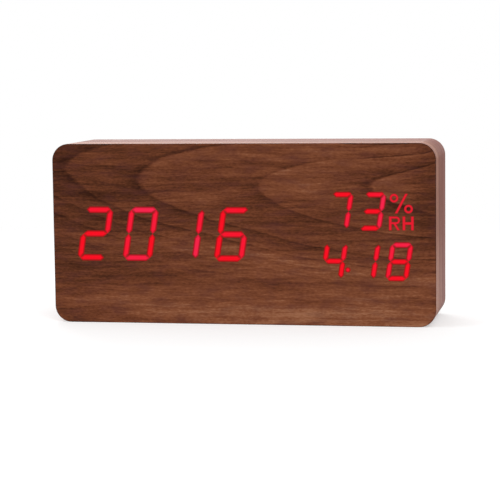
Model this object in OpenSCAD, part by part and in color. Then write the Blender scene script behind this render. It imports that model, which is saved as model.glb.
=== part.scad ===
// Digital alarm clock in a wood-veneered block. Lit figures shine through the face. The buttons, the power
// inlet and the battery bay are on the back. Millimetres. As the face is read, +X is to the right, +Y goes
// to the back and +Z up. The origin is on the table, under the middle of the clock.

/* [Case] */
// Width of the clock
case_w = 150; // [146:1:170]
// Height of the clock
case_h = 70; // [68:1:84]
// Depth of the clock from face to back
case_d = 40; // [37:1:52]
// Radius of the four corners seen from the front
corner_r = 6.5; // [5:0.5:9]
// Thickness of the fibreboard wall around the hollow
wall_t = 5.1; // [4.6:0.1:5.4]
// Thickness of the fibreboard web behind the face
web_t = 3; // [2.6:0.2:4]
// Thickness of the wood veneer on the face
veneer_t = 0.6; // [0.4:0.1:1]
// Thickness of the wood-grain film round the sides and the back rim
film_t = 0.4; // [0.3:0.1:0.6]
// Radius left by the router in the hollow's corners
router_r = 2.5; // [1.5:0.5:3]
// Side of the square block left in each corner of the hollow for a cover screw
post_s = 8; // [7.5:0.5:8.5]

/* [Figures] */
// Figures in the large row
large_figures = "2016"; // [2016, 1230, 0745]
// Figures in the upper small row
upper_figures = "73"; // [73, 45, 60]
// Figures in the lower small row
lower_figures = "418"; // [418, 109, 725]
// Slant of the figures in degrees
slant = 9.1; // [0:0.1:12]
// Width of a large figure
large_w = 11.9; // [11:0.1:13]
// Height of a large figure
large_h = 21; // [19:0.5:23]
// Width of a large figure's bars
large_bar = 2.35; // [1.8:0.05:2.6]
// Cut across the outer corners of a large figure
large_cut = 2.15; // [1.2:0.05:2.3]
// Distance between large figures
large_pitch = 18.2; // [17.5:0.1:18.8]
// Distance from the left side of the case to the middle of the first large figure
large_inset = 17; // [16.5:0.1:18]
// Width of a small figure
small_w = 8.8; // [8.2:0.1:9.2]
// Height of a small figure
small_h = 14.7; // [13.6:0.1:15.2]
// Width of a small figure's bars
small_bar = 1.95; // [1.5:0.05:2.1]
// Cut across the outer corners of a small figure
small_cut = 1.7; // [1:0.05:1.9]
// Distance between small figures
small_pitch = 12.5; // [12:0.1:13]
// Distance from the right side of the case to the middle of the last lower figure
lower_inset = 13.9; // [13.5:0.1:15]
// Distance from the right side of the case to the middle of the last upper figure
upper_inset = 24.1; // [23.8:0.1:25]
// Distance between the middles of the two small rows
row_pitch = 19.1; // [18.6:0.1:20]
// Height of the small rows' middle above the middle of the case
row_lift = -0.45; // [-1:0.05:1]
// Dark gap left at each end of a bar
bar_gap = 0.2; // [0.15:0.05:0.35]
// Rounding of a bar's ends
bar_round = 0.5; // [0.3:0.1:0.7]

/* [Display] */
// Depth of the light mask
mask_d = 9; // [8:0.5:10]
// Margin of the light mask above and below the small rows
mask_margin = 2.2; // [1.8:0.1:2.6]
// Distance from the hollow's side wall to the light mask
mask_side = 1.7; // [1.2:0.1:1.8]
// Thickness of the diffuser film
diffuser_t = 0.2; // [0.1:0.05:0.3]
// Thickness of the circuit boards
board_t = 1.6; // [1:0.2:2]
// Width of the mask's screw lugs
lug_w = 8; // [7:0.5:10]
// Reach of the mask's screw lugs
lug_reach = 6; // [5.5:0.5:7]
// Thickness of the mask's screw lugs
lug_t = 2; // [1.6:0.2:2.4]

/* [Back cover] */
// Width of the wooden rim round the cover
rim_w = 3.2; // [2.8:0.1:3.6]
// Depth of the cover below the back of the rim
cover_recess = 1.8; // [1.6:0.1:2.2]
// Thickness of the cover
cover_t = 2.4; // [2.2:0.1:2.8]
// Gap between the cover and the rim
cover_gap = 0.2; // [0.1:0.05:0.3]
// Width of the control board
control_w = 48; // [48:1:58]
// Height of the control board
control_h = 42; // [41:0.5:42.5]
// Distance from the hollow's side wall to the control board
control_inset = 8; // [8:0.5:9]
// Length of the bosses that carry the control board
boss_h = 6; // [5.8:0.1:7]
// Diameter of those bosses
boss_d = 5; // [4.5:0.1:5.2]

/* [Buttons] */
// Diameter of a button
button_d = 8; // [7:0.5:9]
// Distance between buttons
button_pitch = 17; // [15:0.5:17.5]
// Height of the button row above the middle of the case
button_lift = 11; // [10:0.5:12]
// Height of a button above the cover
button_proud = 1.2; // [0.8:0.1:1.4]
// Travel of a button
button_travel = 0.6; // [0.3:0.1:0.8]
// Radial gap round a button
button_gap = 0.2; // [0.15:0.05:0.3]

/* [Battery bay] */
// Diameter of a cell
cell_d = 10.5; // [10:0.1:10.6]
// Length of a cell with its nub
cell_l = 44.5; // [43:0.5:45]
// Distance between cells
cell_pitch = 10.9; // [10.8:0.1:11.2]
// Length of a contact spring under a cell
spring_l = 4.6; // [4.2:0.1:5.2]
// Thickness of the battery door
door_t = 1.6; // [1.4:0.1:1.8]
// Gap round the battery door
door_gap = 0.3; // [0.25:0.05:0.4]
// Width of the ledge that the door rests on
ledge_w = 1.2; // [1:0.1:1.4]

/* [Hidden] */
$fn = 48;
past = 1;                                  // how far a cutting shape runs past a face
mid_z = case_h / 2;
face_y = -case_d / 2;
back_y = case_d / 2;

// Front stack, from the face backwards
veneer_back_y = face_y + veneer_t;
web_back_y = veneer_back_y + web_t;
mask_front_y = veneer_back_y + diffuser_t;
mask_back_y = mask_front_y + mask_d;
display_back_y = mask_back_y + board_t;

// Back stack, from the back forwards
cover_out_y = back_y - cover_recess;
cover_in_y = cover_out_y - cover_t;
control_back_y = cover_in_y - boss_h;
control_front_y = control_back_y - board_t;

// Fibreboard shell
shell_w = case_w - 2 * film_t;
shell_h = case_h - 2 * film_t;
shell_r = corner_r - film_t;
shell_back_y = back_y - film_t;
hollow_w = shell_w - 2 * wall_t;
hollow_h = shell_h - 2 * wall_t;
rebate_w = case_w - 2 * rim_w;
rebate_h = case_h - 2 * rim_w;
rebate_r = corner_r - rim_w;
cover_w = rebate_w - 2 * cover_gap;
cover_h = rebate_h - 2 * cover_gap;
cover_r = rebate_r - cover_gap;

// Places of the figures' middles
large_z = mid_z;
upper_z = mid_z + row_lift + row_pitch / 2;
lower_z = mid_z + row_lift - row_pitch / 2;
large_x = -case_w / 2 + large_inset;
lower_last_x = case_w / 2 - lower_inset;
upper_last_x = case_w / 2 - upper_inset;
lower_x = lower_last_x - (len(lower_figures) - 1) * small_pitch;
upper_x = upper_last_x - (len(upper_figures) - 1) * small_pitch;
LARGE = [large_w, large_h, large_bar, large_cut];     // width, height, bar and corner cut of a figure
SMALL = [small_w, small_h, small_bar, small_cut];
dot_r = 0.95;                              // point between the figures of the date
dot_shift = 0.9;
dot_drop = 3.3;
dot_x = lower_x + small_w / 2 + dot_shift;
dot_z = lower_z - dot_drop;
dot_channel_gap = 0.25;                    // between the point and the side of its light channel
dot_channel_r = dot_r + dot_channel_gap;
colon_r = 1.3;                             // unlit points between the large figures
colon_x = large_x + 1.5 * large_pitch;
colon_z = 4;
COLON = [for (s = [-1, 1]) [colon_x + s * colon_z * tan(slant), large_z + s * colon_z]];

// Humidity sign beside the upper figures: a per cent sign over two letters
sign_bar = 1.2;
sign_step = 11;                            // from the last upper figure's middle to the sign's
sign_x = upper_last_x + sign_step;
sign_w = 9.6;
percent_h = 7.6;
letters_h = 5.4;
percent_lift = 3;                          // from the upper row's middle up to the per cent sign's
letters_drop = 4.5;                        // and down to the letters'
percent_z = upper_z + percent_lift;
letters_z = upper_z - letters_drop;
percent_ring_r = 1.75;
percent_ring_bar = 1;
percent_inset = 0.3;                       // from the sign's side to a ring
percent_lean = 28;                         // lean of the stroke in degrees
letter_w = 4.4;
letter_bowl_r = 1.55;
letter_bowl_bar = 0.95;

// Which bars each figure lights: top, upper right, lower right, bottom, lower left, upper left, middle
BARS_OF = [[0, 1, 2, 3, 4, 5], [1, 2], [0, 1, 3, 4, 6], [0, 1, 2, 3, 6], [1, 2, 5, 6], [0, 2, 3, 5, 6],
    [0, 2, 3, 4, 5, 6], [0, 1, 2], [0, 1, 2, 3, 4, 5, 6], [0, 1, 2, 3, 5, 6]];
ALL_BARS = BARS_OF[8];
RIGHT_BARS = BARS_OF[1];
SIDE_BARS = [1, 2, 4, 5];

// Light mask, its lugs and its boards
mask_w = hollow_w - 2 * mask_side;
mask_h = row_pitch + small_h + 2 * mask_margin;
mask_z = mid_z + row_lift;
fit = 0.2;                                 // gap round a piece that drops into a hole
lug_inset = 22.6;                          // from the mask's side to its lugs
lug_x = mask_w / 2 - lug_inset;
lug_hole_z = mask_h / 2 + lug_reach / 2;
board_screw_edge = 4;                      // from the mask's upper and lower edge to its board screws
board_screw_lift = mask_h / 2 - board_screw_edge;
board_screw_step = len(large_figures) * large_pitch;
BOARD_SCREWS = concat([[lower_last_x - small_pitch / 2, mask_z]],
    [for (i = [0, 1], s = [-1, 1]) [large_x + i * board_screw_step, mask_z + s * board_screw_lift]]);
led_l = 1.6;
led_w = 1;
led_h = 0.7;

// Small screws: shank radius, head radius, head height, cross width
screw_r = 0.9;
pilot_gap = 0.05;                          // between a shank and its pilot hole
hole_gap = 0.25;                           // between a shank and its clearance hole
head_r = 1.9;
head_h = 1.1;
cross_l = 2.6;
cross_w = 0.6;
cross_d = 0.6;
cover_screw_l = 12;                        // depth of a cover screw's pilot hole
cover_screw_short = 1;                     // free depth below its tip
counterbore_d = 1.2;
board_screw_l = 5;
lug_screw_l = 2.4;
POST_PLACES = [for (sx = [-1, 1], sz = [-1, 1])
    [sx * (hollow_w - post_s) / 2, mid_z + sz * (hollow_h - post_s) / 2]];

// Controls
control_x = -hollow_w / 2 + control_inset + control_w / 2;
button_z = mid_z + button_lift;
lower_row_drop = 11;                       // from the middle of the case to the inlet, holes and vents
lower_row_z = mid_z - lower_row_drop;
BUTTON_X = [control_x - button_pitch, control_x, control_x + button_pitch];
flange_out = 1;                            // from a button's side to the rim of its flange
flange_r = button_d / 2 + flange_out;
flange_t = 0.8;
flange_gap = 0.1;
flange_y = cover_in_y - flange_gap;
switch_s = 6;
switch_h = 3.4;
plunger_r = 1.7;
plunger_gap = 0.1;
plunger_top_y = flange_y - flange_t;
switch_top_y = control_back_y + switch_h;
plunger_in = 1;                            // length of plunger inside the switch
button_crown = 0.4;
mark_h = 0.2;
mark_r = 1.7;
mark_line = 0.6;
boss_edge = 3;                             // from the control board's edges to a boss
BOSS_PLACES = [for (sx = [-1, 1], sz = [-1, 1])
    [control_x + sx * (control_w / 2 - boss_edge), mid_z + sz * (control_h / 2 - boss_edge)]];
boss_screw_l = 4.5;
jack_edge = 4;                             // from the control board's end to the inlet's middle
jack_x = control_x - control_w / 2 + jack_edge;
jack_s = 8;
jack_nose_r = 3.1;
jack_bore_r = 1.95;
jack_bore_l = 7;
jack_pin_r = 0.65;
jack_pin_l = 6;
buzzer_shift = 3;                          // from the board's middle towards the inlet
buzzer_x = control_x - buzzer_shift;
buzzer_r = 6;
buzzer_gap = 0.3;                          // between the buzzer and the cover
buzzer_h = boss_h - buzzer_gap;
buzzer_hole_r = 1;
sound_hole_r = 0.7;
sound_ring_r = 3;
mic_shift = 9.5;                           // from the board's middle towards the sensor
mic_x = control_x + mic_shift;
mic_r = 3;
mic_gap = 0.4;                             // between the microphone and the cover
mic_h = boss_h - mic_gap;
mic_hole_r = 0.8;
sensor_edge = 4;                           // from the control board's other end to the sensor's middle
sensor_x = control_x + control_w / 2 - sensor_edge;
sensor_w = 7;
sensor_h = 6;
sensor_t = 3.4;
sensor_slot_w = 0.8;
sensor_slot_l = 4;
sensor_slot_pitch = 2;
vent_w = 1.2;
vent_l = 8;
vent_pitch = 2.4;
vents = 4;

// Battery bay
cells = 4;
plate_t = 0.3;
plate_s = 8.5;
cell_play = 0.2;                           // free length between a cell and its contacts
cell_clear = 0.4;                          // between the cells and the door
floor_clear = 0.2;                         // between the cells and the bay's floor
bay_floor_t = 1.2;
bay_skirt = 0.8;                           // bay wall outside the door's opening
bay_w = cell_l + spring_l + cell_play + 2 * plate_t;
bay_play = 0.4;                            // free height above and below the cells
bay_h = cells * cell_pitch + bay_play;
door_w = bay_w + 2 * ledge_w;
door_h = bay_h + 2 * ledge_w;
opening_w = door_w + 2 * door_gap;
opening_h = door_h + 2 * door_gap;
bay_out_w = opening_w + 2 * bay_skirt;
bay_out_h = opening_h + 2 * bay_skirt;
bay_gap = 1;                               // between the bay and the screw posts
bay_x = hollow_w / 2 - post_s - bay_gap - bay_out_w / 2;
door_seat_y = cover_out_y - door_t;
cell_y = door_seat_y - cell_clear - cell_d / 2;
bay_floor_y = cell_y - cell_d / 2 - floor_clear;
bay_left_x = bay_x - bay_w / 2;
bay_right_x = bay_x + bay_w / 2;
nub_r = 1.9;
nub_l = 1;
door_low_z = mid_z - door_h / 2;
tab_w = 6;
tab_t = 1;
tab_reach = 1.5;
tab_leg_t = 1;
tab_gap = 0.15;                            // between a tab and the cover's inner face
tab_top_y = cover_in_y - tab_gap;
tab_room = 0.6;
tab_pitch = 26;
TAB_X = [bay_x - tab_pitch / 2, bay_x + tab_pitch / 2];
latch_w = 9;
latch_t = 1;
latch_l = 1.5;
latch_gap = 0.5;
grip_w = 12;
grip_h = 3.5;
grip_d = 1.2;
rib_inset = 3;                             // from the door's upper edge to the first grip rib
rib_pitch = 1.6;
ribs = 4;
rib_h = 0.3;
spring_wire = 0.6;
spring_base_r = 3.5;
spring_tip_r = 2.1;
spring_turns = 3.5;
spring_rings = 8;                          // rings of the wire in one turn
spring_sides = 6;
terminal_w = 2.4;
terminal_t = 0.4;
terminal_out = 2.2;
terminal_lift = 1.6;                       // from the bay's floor to the terminals
terminal_y = bay_floor_y + terminal_lift;
bay_wall = (bay_out_w - bay_w) / 2;
lead_d = 1.3;
lead_out = 1.6;
lead_gap = 2.5;                            // between the two leads in their socket
lead_x = bay_left_x - bay_wall - terminal_out - lead_out;
lead_y = (control_front_y + display_back_y) / 2;
socket_w = 4.5;
socket_l = 7.5;
socket_h = 5;

// Pieces on the display board
header_w = 10;
header_l = 4;
header_h = 3;
ribbon_w = 7.6;
ribbon_t = 0.8;
ribbon_top_z = mid_z;
ribbon_back_y = control_front_y - header_h;
ribbon_front_y = display_back_y + header_h;
ribbon_r = (ribbon_back_y - ribbon_front_y) / 2;
ribbon_straight = 2;                       // straight length between the ribbon's two turns
ribbon_drop = 2 * ribbon_r + ribbon_straight;
chip_l = 18;
chip_gap = 3;                              // between the chip and the lead socket
chip_x = lead_x - socket_w / 2 - chip_gap - chip_l / 2;
chip_w = 7.6;
chip_h = 2.4;
chip_legs = 14;
chip_leg_pitch = 1.27;
chip_leg_w = 0.4;
chip_leg_out = 1.2;
chip_leg_h = 0.8;
crystal_r = 1;
crystal_gap = 6;                           // between the chip's end and the crystal
crystal_x = chip_x - chip_l / 2 - crystal_gap - crystal_r;
crystal_l = 6;
crystal_lift = 0.1;
capacitor_r = 3.15;
capacitor_gap = 4;                         // between the lead socket and the capacitor
capacitor_x = lead_x + socket_w / 2 + capacitor_gap + capacitor_r;
capacitor_h = 7;
drivers = 8;
driver_l = 2.9;
driver_w = 1.3;
driver_h = 1.1;
driver_pitch = 6;
driver_lift = 13;

// A flat outline, drawn in X and Z, given thickness from y0 back to y1
module slab(y0, y1) {
    translate([0, y1, 0]) rotate([90, 0, 0]) linear_extrude(height = y1 - y0) children();
}

// A round bar along Y
module rod(x, z, y0, y1, r) {
    translate([x, y1, z]) rotate([90, 0, 0]) cylinder(h = y1 - y0, r = r);
}

// A box from its middle in X and Z and its two ends in Y
module block(x, z, w, h, y0, y1) {
    translate([x - w / 2, y0, z - h / 2]) cube([w, y1 - y0, h]);
}

// A rectangle with round corners, centred
module rounded(w, h, r) {
    square([w - 2 * r, h], center = true);
    square([w, h - 2 * r], center = true);
    for (sx = [-1, 1], sz = [-1, 1]) translate([sx * (w / 2 - r), sz * (h / 2 - r)]) circle(r = r);
}

// A small pan-head screw with a cross, its head on the plane y and its shank along -Y
module screw(x, z, y, l, turned = false) {
    translate([x, y, z]) rotate([turned ? -90 : 90, 0, 0]) {
        cylinder(h = l, r = screw_r);
        difference() {
            translate([0, 0, -head_h]) cylinder(h = head_h, r = head_r);
            for (a = [0, 90]) rotate([0, 0, a])
                translate([-cross_l / 2, -cross_w / 2, -head_h - past])
                    cube([cross_l, cross_w, cross_d + past]);
        }
    }
}

// Bars of a figure about its middle: a top bar with cut corners, an upper right bar and a middle bar
function top_bar(f) = let (u = (f[0] - f[2]) / 2, v = (f[1] - f[2]) / 2, t = f[2] / 2, k = t - f[3] / 2,
    half = [[u - t - bar_gap, v - t], [u + k - bar_gap, v + k], [u + t - f[3], v + t]])
    concat(half, [for (i = [2 : -1 : 0]) [-half[i][0], half[i][1]]]);
function side_bar(f) = let (u = (f[0] - f[2]) / 2, v = (f[1] - f[2]) / 2, t = f[2] / 2, k = t - f[3] / 2)
    [[u + t, v + t - f[3]], [u + k, v + k - bar_gap], [u - t, v - t - bar_gap], [u - t, t + bar_gap],
     [u, bar_gap], [u + t, t + bar_gap]];
function middle_bar(f) = let (u = (f[0] - f[2]) / 2 - bar_gap, t = f[2] / 2)
    [[u - t, -t], [u, 0], [u - t, t], [t - u, t], [-u, 0], [t - u, -t]];
function flip_x(points) = [for (p = points) [-p[0], p[1]]];
function flip_z(points) = [for (p = points) [p[0], -p[1]]];
function bar_middle(points) = [for (k = [0, 1]) let (values = [for (p = points) p[k]])
    (min(values) + max(values)) / 2];
function figure_bars(f) = let (top = top_bar(f), side = side_bar(f))
    [top, side, flip_z(side), flip_z(top), flip_x(flip_z(side)), flip_x(side), middle_bar(f)];
function slanted(points) = [for (p = points) [p[0] + p[1] * tan(slant), p[1]]];

// Corners of an outline eased by a curve that starts r before the corner and ends r after it, or less where
// a side is too short for two such curves
function along_side(side, r) = side / norm(side) * min(r, 0.45 * norm(side));
function eased(points, r, steps = 3) = let (n = len(points)) [for (i = [0 : n - 1], k = [0 : steps])
    let (p = points[i], t = k / steps, u = along_side(points[(i + n - 1) % n] - p, r),
        v = along_side(points[(i + 1) % n] - p, r))
    p + (1 - t) * (1 - t) * u + t * t * v];

module figure(bars, f, round_r = 0) {
    for (i = bars) let (outline = slanted(figure_bars(f)[i]))
        polygon(round_r > 0 ? eased(outline, round_r) : outline);
}

// A row of lit figures, from the middle of its first figure
module lit_row(figures, x, z, pitch, f) {
    for (i = [0 : len(figures) - 1])
        translate([x + i * pitch, z]) figure(BARS_OF[ord(figures[i]) - ord("0")], f, bar_round);
}

module lit_year() {
    lit_row(large_figures, large_x, large_z, large_pitch, LARGE);
}

module lit_humidity() {
    lit_row(upper_figures, upper_x, upper_z, small_pitch, SMALL);
}

module lit_date() {
    lit_row(lower_figures, lower_x, lower_z, small_pitch, SMALL);
    translate([dot_x, dot_z]) circle(r = dot_r);
}

// Two rings and a stroke
module percent() {
    ring_x = sign_w / 2 - percent_ring_r - percent_inset;
    ring_z = percent_h / 2 - percent_ring_r;
    for (s = [-1, 1]) translate([s * ring_x, -s * ring_z]) difference() {
        circle(r = percent_ring_r);
        circle(r = percent_ring_r - percent_ring_bar);
    }
    lean = percent_h / 2 * tan(percent_lean);
    polygon([[-lean - sign_bar / 2, -percent_h / 2], [sign_bar / 2 - lean, -percent_h / 2],
        [lean + sign_bar / 2, percent_h / 2], [lean - sign_bar / 2, percent_h / 2]]);
}

// A stem, a bowl at its top and a leg under the bowl
module letter_r() {
    bowl_x = letter_w / 2 - letter_bowl_r;
    bowl_low_z = letters_h / 2 - 2 * letter_bowl_r;
    translate([-letter_w / 2, -letters_h / 2]) square([sign_bar, letters_h]);
    translate([bowl_x, letters_h / 2 - letter_bowl_r]) difference() {
        half_round(bowl_x + letter_w / 2, letter_bowl_r);
        half_round(bowl_x + letter_w / 2 - sign_bar, letter_bowl_r - letter_bowl_bar);
    }
    polygon([[letter_w / 2 - sign_bar, -letters_h / 2], [letter_w / 2, -letters_h / 2],
        [sign_bar / 2, bowl_low_z], [-sign_bar / 2, bowl_low_z]]);
}

// A strip that runs back from a round end
module half_round(l, r) {
    circle(r = r);
    translate([-l, -r]) square([l, 2 * r]);
}

module letter_h() {
    for (s = [0, 1]) translate([s * (letter_w - sign_bar) - letter_w / 2, -letters_h / 2])
        square([sign_bar, letters_h]);
    square([letter_w - sign_bar, sign_bar], center = true);
}

module humidity_sign() {
    translate([sign_x, percent_z]) percent();
    translate([sign_x - sign_w / 2 + letter_w / 2, letters_z]) letter_r();
    translate([sign_x + sign_w / 2 - letter_w / 2, letters_z]) letter_h();
}

module all_lit() {
    lit_year();
    lit_humidity();
    lit_date();
    humidity_sign();
}

// Places of the figures behind the face, lit or not, each with its size and its bars; the lower row starts with
// an unlit figure that can only be a one
function figure_places() = concat(
    [for (i = [0 : len(large_figures) - 1]) [large_x + i * large_pitch, large_z, LARGE, ALL_BARS]],
    [for (i = [0 : len(upper_figures) - 1]) [upper_x + i * small_pitch, upper_z, SMALL, ALL_BARS]],
    [for (i = [0 : len(lower_figures) - 1]) [lower_x + i * small_pitch, lower_z, SMALL, ALL_BARS]],
    [[lower_x - small_pitch, lower_z, SMALL, RIGHT_BARS]]);

module light_channels() {
    for (p = figure_places()) translate([p[0], p[1]]) figure(p[3], p[2]);
    for (p = COLON) translate(p) circle(r = colon_r);
    translate([dot_x, dot_z]) circle(r = dot_channel_r);
    translate([sign_x, percent_z]) square([sign_w, percent_h], center = true);
    translate([sign_x, letters_z]) square([sign_w, letters_h], center = true);
}

// Case

module hollow_outline() {
    difference() {
        rounded(hollow_w, hollow_h, router_r);
        for (sx = [-1, 1], sz = [-1, 1])
            translate([sx * (hollow_w - post_s + past) / 2, sz * (hollow_h - post_s + past) / 2])
                square(post_s + past, center = true);
    }
}

module case_shell() {
    color("peru") difference() {
        slab(veneer_back_y, shell_back_y) translate([0, mid_z]) rounded(shell_w, shell_h, shell_r);
        slab(web_back_y, back_y) translate([0, mid_z]) hollow_outline();
        slab(cover_in_y, back_y) translate([0, mid_z]) rounded(rebate_w, rebate_h, rebate_r);
        block(0, mask_z, mask_w + 2 * fit, mask_h + 2 * fit, face_y, web_back_y + past);
        for (p = POST_PLACES)
            rod(p[0], p[1], cover_in_y - cover_screw_l, cover_in_y + past, screw_r + pilot_gap);
        for (sx = [-1, 1], sz = [-1, 1])
            rod(sx * lug_x, mask_z + sz * lug_hole_z, web_back_y - lug_screw_l - pilot_gap,
                web_back_y + past, screw_r + pilot_gap);
    }
}

module wrap_film() {
    color("saddlebrown") difference() {
        slab(veneer_back_y, back_y) translate([0, mid_z]) rounded(case_w, case_h, corner_r);
        slab(face_y, shell_back_y) translate([0, mid_z]) rounded(shell_w, shell_h, shell_r);
        slab(face_y, back_y + past) translate([0, mid_z]) rounded(rebate_w, rebate_h, rebate_r);
    }
}

module front_veneer() {
    color("sienna") slab(face_y, veneer_back_y) difference() {
        translate([0, mid_z]) rounded(case_w, case_h, corner_r);
        all_lit();
    }
}

module lit_year_figures() {
    color("red") slab(face_y, veneer_back_y) lit_year();
}

module lit_humidity_figures() {
    color("red") slab(face_y, veneer_back_y) lit_humidity();
}

module lit_date_figures() {
    color("red") slab(face_y, veneer_back_y) lit_date();
}

module lit_humidity_sign() {
    color("crimson") slab(face_y, veneer_back_y) humidity_sign();
}

// Display

module diffuser_film() {
    color("whitesmoke") block(0, mask_z, mask_w, mask_h, veneer_back_y, mask_front_y);
}

module light_mask() {
    color("white") difference() {
        union() {
            slab(mask_front_y, mask_back_y) difference() {
                translate([0, mask_z]) square([mask_w, mask_h], center = true);
                light_channels();
            }
            for (sx = [-1, 1], sz = [-1, 1])
                block(sx * lug_x, mask_z + sz * lug_hole_z, lug_w, lug_reach,
                    web_back_y, web_back_y + lug_t);
        }
        for (sx = [-1, 1], sz = [-1, 1])
            rod(sx * lug_x, mask_z + sz * lug_hole_z, web_back_y - past, web_back_y + lug_t + past,
                screw_r + hole_gap);
        for (p = BOARD_SCREWS)
            rod(p[0], p[1], mask_back_y - board_screw_l, mask_back_y + past, screw_r + pilot_gap);
    }
}

// A lamp behind each bar, lying along it, and one behind each point and each half of the sign
module segment_leds() {
    color("lightcoral") {
        for (p = figure_places(), i = p[3]) {
            middle = slanted([bar_middle(figure_bars(p[2])[i])])[0];
            led(p[0] + middle[0], p[1] + middle[1], upright = len(search(i, SIDE_BARS)) > 0);
        }
        for (p = concat(COLON, [[dot_x, dot_z], [sign_x, percent_z], [sign_x, letters_z]])) led(p[0], p[1]);
    }
}

module led(x, z, upright = false) {
    block(x, z, upright ? led_w : led_l, upright ? led_l : led_w, mask_back_y - led_h, mask_back_y);
}

module display_board() {
    color("darkgreen") difference() {
        block(0, mask_z, mask_w, mask_h, mask_back_y, display_back_y);
        for (p = BOARD_SCREWS)
            rod(p[0], p[1], mask_back_y - past, display_back_y + past, screw_r + hole_gap);
    }
}

module mask_screws() {
    color("silver") for (sx = [-1, 1], sz = [-1, 1])
        screw(sx * lug_x, mask_z + sz * lug_hole_z, web_back_y + lug_t, lug_t + lug_screw_l);
}

module display_board_screws() {
    color("silver") for (p = BOARD_SCREWS)
        screw(p[0], p[1], display_back_y, board_t + board_screw_l - pilot_gap);
}

module clock_chip() {
    color("dimgray") {
        block(chip_x, mid_z, chip_l, chip_w, display_back_y, display_back_y + chip_h);
        for (i = [0 : chip_legs - 1], s = [-1, 1])
            block(chip_x + (i - (chip_legs - 1) / 2) * chip_leg_pitch,
                mid_z + s * (chip_w + chip_leg_out) / 2, chip_leg_w, chip_leg_out,
                display_back_y, display_back_y + chip_leg_h);
    }
}

module crystal_can() {
    color("silver") translate([crystal_x, display_back_y + crystal_r + crystal_lift, mid_z - crystal_l / 2])
        cylinder(h = crystal_l, r = crystal_r);
}

module capacitor() {
    color("midnightblue")
        rod(capacitor_x, mid_z, display_back_y, display_back_y + capacitor_h, capacitor_r);
}

module digit_drivers() {
    color("dimgray") for (i = [0 : drivers - 1])
        block(large_x + (i + 1) * driver_pitch, mid_z + driver_lift, driver_l, driver_w,
            display_back_y, display_back_y + driver_h);
}

module lead_socket() {
    color("ivory") block(lead_x, mid_z, socket_w, socket_l, display_back_y, display_back_y + socket_h);
}

module link_headers() {
    color("ivory") {
        block(control_x, ribbon_top_z, header_w, header_l, ribbon_back_y, control_front_y);
        block(control_x, ribbon_top_z - ribbon_drop, header_w, header_l, display_back_y, ribbon_front_y);
    }
}

// Flat ribbon that leaves one header square, turns down and turns again into the other
module board_link() {
    drop_y = (ribbon_back_y + ribbon_front_y) / 2;
    color("lightgray") translate([control_x - ribbon_w / 2, 0, 0]) rotate([90, 0, 90])
        linear_extrude(height = ribbon_w) {
            translate([ribbon_back_y, ribbon_top_z - ribbon_r]) quarter_turn(1);
            translate([ribbon_front_y, ribbon_top_z - ribbon_drop + ribbon_r]) quarter_turn(-1);
            translate([drop_y - ribbon_t / 2, ribbon_top_z - ribbon_drop + ribbon_r])
                square([ribbon_t, ribbon_drop - 2 * ribbon_r]);
        }
}

module quarter_turn(s) {
    intersection() {
        difference() {
            circle(r = ribbon_r + ribbon_t / 2);
            circle(r = ribbon_r - ribbon_t / 2);
        }
        side = ribbon_r + ribbon_t;
        translate([s > 0 ? -side : 0, s > 0 ? 0 : -side]) square(side);
    }
}

// Back cover and controls

module rear_cover() {
    color("darkslategray") difference() {
        union() {
            slab(cover_in_y, cover_out_y) translate([0, mid_z]) rounded(cover_w, cover_h, cover_r);
            block(bay_x, mid_z, bay_out_w, bay_out_h, bay_floor_y - bay_floor_t, door_seat_y);
            for (p = BOSS_PLACES) rod(p[0], p[1], control_back_y, cover_in_y + past, boss_d / 2);
        }
        block(bay_x, mid_z, bay_w, bay_h, bay_floor_y, back_y);
        block(bay_x, mid_z, opening_w, opening_h, door_seat_y, back_y);
        door_slots();
        control_openings();
        for (p = POST_PLACES) {
            rod(p[0], p[1], cover_in_y - past, back_y, screw_r + hole_gap);
            rod(p[0], p[1], cover_out_y - counterbore_d, back_y, head_r + hole_gap);
        }
        for (p = BOSS_PLACES) rod(p[0], p[1], control_back_y - past, control_back_y + boss_screw_l,
            screw_r + pilot_gap);
        for (i = [0, cells - 1])
            block(bay_left_x - bay_wall / 2, cell_z(i), bay_wall + past, terminal_w + 2 * fit,
                terminal_y - terminal_t / 2 - fit, terminal_y + terminal_t / 2 + fit);
    }
}

// Slots that take the door's tabs, and the notch for a fingertip at its latch
module door_slots() {
    slot_w = tab_w + 2 * door_gap;
    slot_low_z = door_low_z - tab_reach - tab_room;
    bay_low_z = mid_z - bay_h / 2;
    for (x = TAB_X) {
        translate([x - slot_w / 2, tab_top_y - tab_t - tab_room, slot_low_z])
            cube([slot_w, cover_in_y - tab_top_y + tab_t + tab_room, bay_low_z + past - slot_low_z]);
        translate([x - slot_w / 2, cover_in_y - past, door_low_z - door_gap])
            cube([slot_w, door_seat_y - cover_in_y + 2 * past, bay_low_z + past - door_low_z + door_gap]);
    }
    block(bay_x, mid_z + opening_h / 2, grip_w, 2 * grip_h, cover_out_y - grip_d, back_y);
}

module control_openings() {
    for (x = BUTTON_X) rod(x, button_z, cover_in_y - past, back_y, button_d / 2 + button_gap);
    rod(jack_x, lower_row_z, cover_in_y - past, back_y, jack_nose_r + fit);
    rod(mic_x, lower_row_z, cover_in_y - past, back_y, mic_hole_r);
    rod(buzzer_x, lower_row_z, cover_in_y - past, back_y, sound_hole_r);
    for (a = [0 : 60 : 300])
        rod(buzzer_x + sound_ring_r * cos(a), lower_row_z + sound_ring_r * sin(a),
            cover_in_y - past, back_y, sound_hole_r);
    for (i = [0 : vents - 1])
        block(sensor_x + (i - (vents - 1) / 2) * vent_pitch, lower_row_z, vent_w, vent_l,
            cover_in_y - past, back_y);
}

module cover_screws() {
    color("silver") for (p = POST_PLACES)
        screw(p[0], p[1], cover_out_y - counterbore_d,
            cover_t - counterbore_d + cover_screw_l - cover_screw_short);
}

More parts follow.
